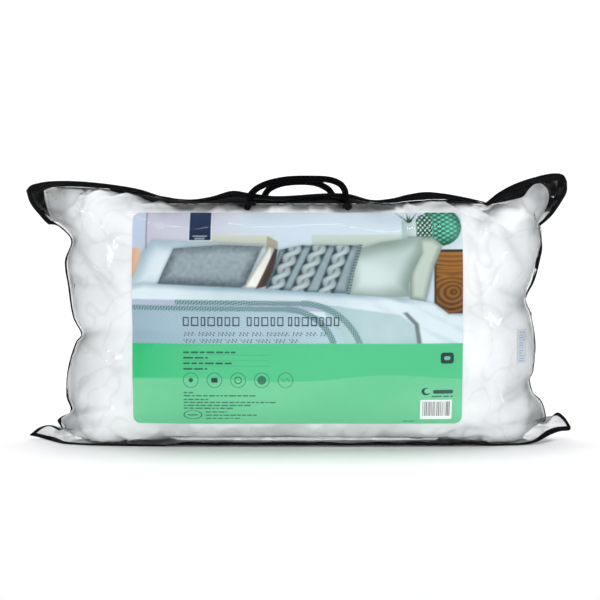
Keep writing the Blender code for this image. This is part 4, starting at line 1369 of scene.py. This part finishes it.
    for row, (a, b) in enumerate(((84, 104), (87, 101))):
        p.box((a, 262 - row * 3.4, b, 263.4 - row * 3.4), "#C9D3E2", 0.7)
    # Title and two lines under it.
    for a, b, seed in ((71.5, 152.5, 1), (160, 212, 2), (217, 288, 3)):
        p.frames(a, b, 138.8, 12.6, 1.7, navy, seed)
    for row, (a, b) in enumerate(((73, 271), (72, 232))):
        p.scribble(a, b, 125.0 - row * 9.6, 5.2, navy, 11 + row, 22.0)

    # Green panel, darker above a brushed edge.
    brush = 64 + 2.6 * p.noise(22, 9.0, 0.5) + 3.4 * np.sin(x / 46.0) + 2.0 * (x > 205)
    deep = p.blend("#22BD79", "#50C48C", (x - 10) / 90 + 0.2 * p.noise(20, 10.0))
    pale = p.blend("#66C795", "#80D0A5", 0.5 + 0.6 * p.noise(18, 12.0, 0.4))
    p.box((-9, -9, 470, 114.4), pale)
    p.lay(np.maximum(brush - y, y - 114.4), deep, 0.9, 0.8)
    for row, b in enumerate((147, 106, 139, 105)):
        p.bars(71.5, b, 101.0 - row * 7.7, 2.4, navy, 20 + row, 11.0, 0.85)
        if row < 3:
            p.box((71.5, 98.2 - row * 7.7, 193, 98.8 - row * 7.7), "#3C8D72", 0.7)
    for k in range(5):
        cx, cy = 82.0 + k * 32.9, 63.2
        ring = np.hypot(x - cx, y - cy)
        p.lay(np.abs(ring - 10.3) - 0.45, navy, 0.75)
        mark = (
            ring - 3.0, rounded(x, y, (cx - 4.5, cy - 3.5, cx + 4.5, cy + 3.5), 2),
            np.abs(ring - 4.6) - 0.7, ring - 6.2,
            np.abs(y - cy - 1.6 * np.sin((x - cx) * 0.7)) - 0.5 + (ring > 7) * 9,
        )[k]
        p.lay(mark, navy, (0.9, 0.95, 0.8, 0.7, 0.8)[k])
    for y0, b, seed in ((44.5, 88, 30), (40.2, 172, 31), (34.6, 106, 32), (30.5, 201, 33),
        (26.2, 165, 34), (22.2, 141, 35)):
        p.bars(71.5, b, y0, 1.9, navy, seed, 7.0, 0.75)
    oval = np.abs(np.hypot((x - 84) / 12.4, (y - 13.4) / 6.0) - 1) * 8 - 0.5
    p.lay(oval, navy, 0.85)
    p.lay(rounded(x, y, (77, 12.2, 91, 14.4), 1), navy, 0.6)
    for row, b in enumerate((132, 176, 150)):
        p.bars(102, b, 16.6 - row * 4.6, 1.7, navy, 40 + row, 6.0, 0.7)
    p.lay(rounded(x, y, (429, 86, 447.5, 101.5), 4), navy, 0.95)
    p.lay(rounded(x, y, (434, 91, 442.5, 96.5), 2), "#7AD0A4", 0.9)
    p.lay(np.hypot((x - 409) / 1.2, y - 46.8) - 5.2, navy, 0.95)
    p.lay(np.hypot((x - 411) / 1.2, y - 47.4) - 3.6, "#86D8AC", 0.95)
    p.bars(419, 447, 43.8, 5.2, navy, 50, 60.0, 0.85)
    p.bars(417, 447, 38.6, 2.0, navy, 51, 10.0, 0.7)
    p.box((401.5, 7.0, 445.5, 34.9), "#FFFFFF")
    rng = np.random.default_rng(60)
    at = 404.5
    while at < 442:
        width = rng.uniform(0.35, 1.3)
        p.box((at, 11.5, at + width, 32.5), "#10141C", 0.9)
        at += width + rng.uniform(0.45, 1.3)
    p.bars(378, 396, 3.2, 1.5, navy, 61, 7.0, 0.6)
    return p.colour


def card_sheet(name, box, step, lift):
    """A patch of the card, box in millimetres from its lower left corner, that follows the film."""
    x0, y0, x1, y1 = box
    xs = np.linspace(x0, x1, int((x1 - x0) / step) + 1)
    ys = np.linspace(y0, y1, int((y1 - y0) / step) + 1)
    mx, my = np.meshgrid(xs, ys)
    x, z = CARD_LEFT + mx / 1000, CARD_BOTTOM + my / 1000
    depth = front_depth(x, z) - CARD_DEPTH + 0.0006 * field(x, z, 7.0, 12.0) + lift
    points = np.stack([x, -depth, z], -1)
    faces = quads(len(ys), len(xs))
    corner = CARD_CORNER * 1000
    if lift == 0.0:
        outline = rounded(mx, my, (0, 0, CARD_WIDTH * 1000, CARD_HEIGHT * 1000), corner)
        # Points just outside a rounded corner move onto it, and faces further out go.
        out = outline.ravel() > 0.01
        centre_x = np.clip(mx, corner, CARD_WIDTH * 1000 - corner)
        centre_y = np.clip(my, corner, CARD_HEIGHT * 1000 - corner)
        reach = np.hypot(mx - centre_x, my - centre_y)
        pull = np.where(outline > 0, corner / np.maximum(reach, 1e-6), 1.0)
        points[..., 0] = CARD_LEFT + (centre_x + (mx - centre_x) * pull) / 1000
        points[..., 2] = CARD_BOTTOM + (centre_y + (my - centre_y) * pull) / 1000
        faces = faces[~out[faces].all(axis=1)]
    ob = add_object(name, points, faces, BOARD, np.stack([mx, my], -1) / 1000)
    colour = paint(Print(mx, my, step * 0.35))
    add_ink(ob, colour)
    edit(ob, bpy.ops.mesh.delete_loose)
    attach(ob, "bag")
    return ob


def make_card():
    card = card_sheet("printed_card", (0, 0, CARD_WIDTH * 1000, CARD_HEIGHT * 1000), CARD_STEP * 1000, 0.0)
    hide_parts("insert_card")
    # The small print is laid on finer patches, so that its edges are crisp.
    card_sheet("card_small_print", (66, 2, 206, 104), 0.6, 0.00012)
    card_sheet("card_title", (66, 112, 294, 156), 0.7, 0.00012)
    card_sheet("card_stripe_box", (398, 4, 450, 104), 0.5, 0.00012)


make_card()


def make_label():
    """Care label caught in the right-hand seam, in the board's material, which reads its print."""
    xs = np.linspace(0, LABEL_WIDTH, 15)
    zs = np.linspace(0, LABEL_HEIGHT, 49)
    mx, mz = np.meshgrid(xs, zs)
    x, z = LABEL_LEFT + mx, LABEL_BOTTOM + mz
    depth = front_depth(x, z) - 0.0022 - 0.0006 * np.sin(mz / LABEL_HEIGHT * math.pi)
    p = Print(mx * 1000, mz * 1000, 0.3)
    p.colour[:] = linear("#DCE2E9")[:3]
    for row in range(12):
        y = 3.0 + row * 3.7
        p.bars(1.6, 9.0 + 3.0 * ((row * 7) % 3) / 3, y, 1.3, "#6F88B2", 70 + row, 5.0, 0.7)
    ob = grid_object("care_label_tape", np.stack([x, -depth, z], -1), BOARD, np.stack([mx, mz], -1))
    add_ink(ob, p.colour)
    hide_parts("care_label")
    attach(ob, "bag")


make_label()


# ---------------------------------------------------------------- patches


def make_patches():
    """A sewn patch where each cord ends on the film."""
    for side, route, word in (
        (-1, FRONT_HANDLE, "front"), (1, BACK_HANDLE, "back")
    ):
        for end, foot in (("left", route[0][0]), ("right", route[-1][0])):
            node_name = f"handle_patch_{word}_{end}"
            low, high = (Vector(c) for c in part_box(node_name))
            xs = np.linspace(low.x + 0.003, high.x - 0.003, 13)
            zs = np.linspace(low.z + 0.006, high.z - 0.001, 11)
            x, z = np.meshgrid(xs, zs)
            depth = front_depth(x, z) + 0.0016 + 0.0004 * np.sin((x - low.x) * 900) * np.sin(z * 900)
            points = np.stack([x, side * depth, z], -1)
            ob = grid_object(f"{word}_{end}_patch", points, BINDING, np.stack([x, z], -1), flip=side > 0)
            thicken(ob, 0.0009, 0)
            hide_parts(node_name)
            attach(ob, "bag")


make_patches()


# ---------------------------------------------------------------- floor, light and camera


def make_stage():
    deselect()
    sweep = Curve([
        (-12.0, 0.0), (-4.0, 0.0), (-1.0, 0.0), (1.0, 0.0), (2.2, 0.0), (2.9, 0.12), (3.3, 0.6),
        (3.4, 1.6), (3.4, 3.4),
    ])
    line = sweep.at(np.linspace(0, 1, 60))
    xs = np.linspace(-12, 12, 3)
    points = np.stack([np.stack([np.full(60, x), line[:, 0], line[:, 1]], -1) for x in xs], 1)
    # White paper sweep: matt. From the front its far edge is lost in the white surroundings.
    material = new_material("white_paper_sweep", Roughness=0.9, Base_Color=linear("#EAEAEB"))[0]
    ob = grid_object("paper_sweep", points, material)
    recalculate(ob)


def add_light(name, place, aim, size, power, glints=False):
    data = bpy.data.lights.new(name, "AREA")
    data.shape = "RECTANGLE"
    data.size, data.size_y = size
    data.energy = power
    ob = bpy.data.objects.new(name, data)
    ob.location = place
    ob.rotation_euler = (Vector(aim) - Vector(place)).to_track_quat("-Z", "Y").to_euler()
    # The soft lights would lie over the film as a veil, so only the glint strips are mirrored in it.
    ob.visible_glossy = glints
    ob.visible_diffuse = not glints
    bpy.context.scene.collection.objects.link(ob)


def make_lights():
    # The surroundings look white, and light the bag softly from all round.
    world = bpy.data.worlds.new("studio")
    world.use_nodes = True
    tree = world.node_tree
    background = tree.nodes["Background"]
    background.inputs["Color"].default_value = linear("#FFFFFF")
    seen = node(tree, "LightPath")
    strength = node(tree, "MapRange", {"To Min": 0.2, "To Max": 1.0}, {"Value": (seen, "Is Camera Ray")})
    tree.links.new(strength.outputs["Result"], background.inputs["Strength"])
    bpy.context.scene.world = world
    add_light("key_softbox", (-1.5, -2.3, 1.0), (0, 0, 0.16), (1.6, 1.2), 6)
    add_light("fill_softbox", (1.6, -2.3, 1.2), (0, 0, 0.16), (1.6, 1.2), 7)
    add_light("front_softbox", (0.0, -2.9, 0.35), (0, 0, 0.14), (3.0, 0.5), 44)
    add_light("upper_softbox", (0.2, -1.4, 2.2), (0.1, 0, 0.1), (2.6, 0.9), 13)
    add_light("top_softbox", (0.0, 0.3, 2.0), (0, 0, 0), (2.6, 1.0), 46)
    add_light("back_softbox", (0.0, 2.2, 1.2), (0, 0, 0.16), (2.4, 0.8), 12)
    add_light("backdrop_light", (0.0, 1.6, 2.2), (0, 3.4, 0.6), (3.0, 0.6), 62)
    add_light("left_glint_strip", (-2.0, -1.6, 0.9), (0, 0, 0.2), (0.05, 1.4), 8, True)
    add_light("right_glint_strip", (2.0, -1.5, 0.8), (0, 0, 0.2), (0.05, 1.4), 8, True)
    add_light("top_glint_strip", (0.0, -0.9, 2.0), (0, 0, 0.25), (1.2, 0.04), 1.6, True)


def make_camera():
    data = bpy.data.cameras.new("camera")
    data.lens = CAMERA_LENS
    ob = bpy.data.objects.new("camera", data)
    back, up = math.cos(CAMERA_ELEVATION), math.sin(CAMERA_ELEVATION)
    aim = Vector((0, 0, CAMERA_AIM_Z))
    ob.location = aim + CAMERA_DISTANCE * Vector((0, -back, up))
    ob.rotation_euler = (aim - ob.location).to_track_quat("-Z", "Y").to_euler()
    bpy.context.scene.collection.objects.link(ob)
    bpy.context.scene.camera = ob


make_stage()
make_lights()
make_camera()
bpy.context.scene.view_settings.view_transform = "Standard"
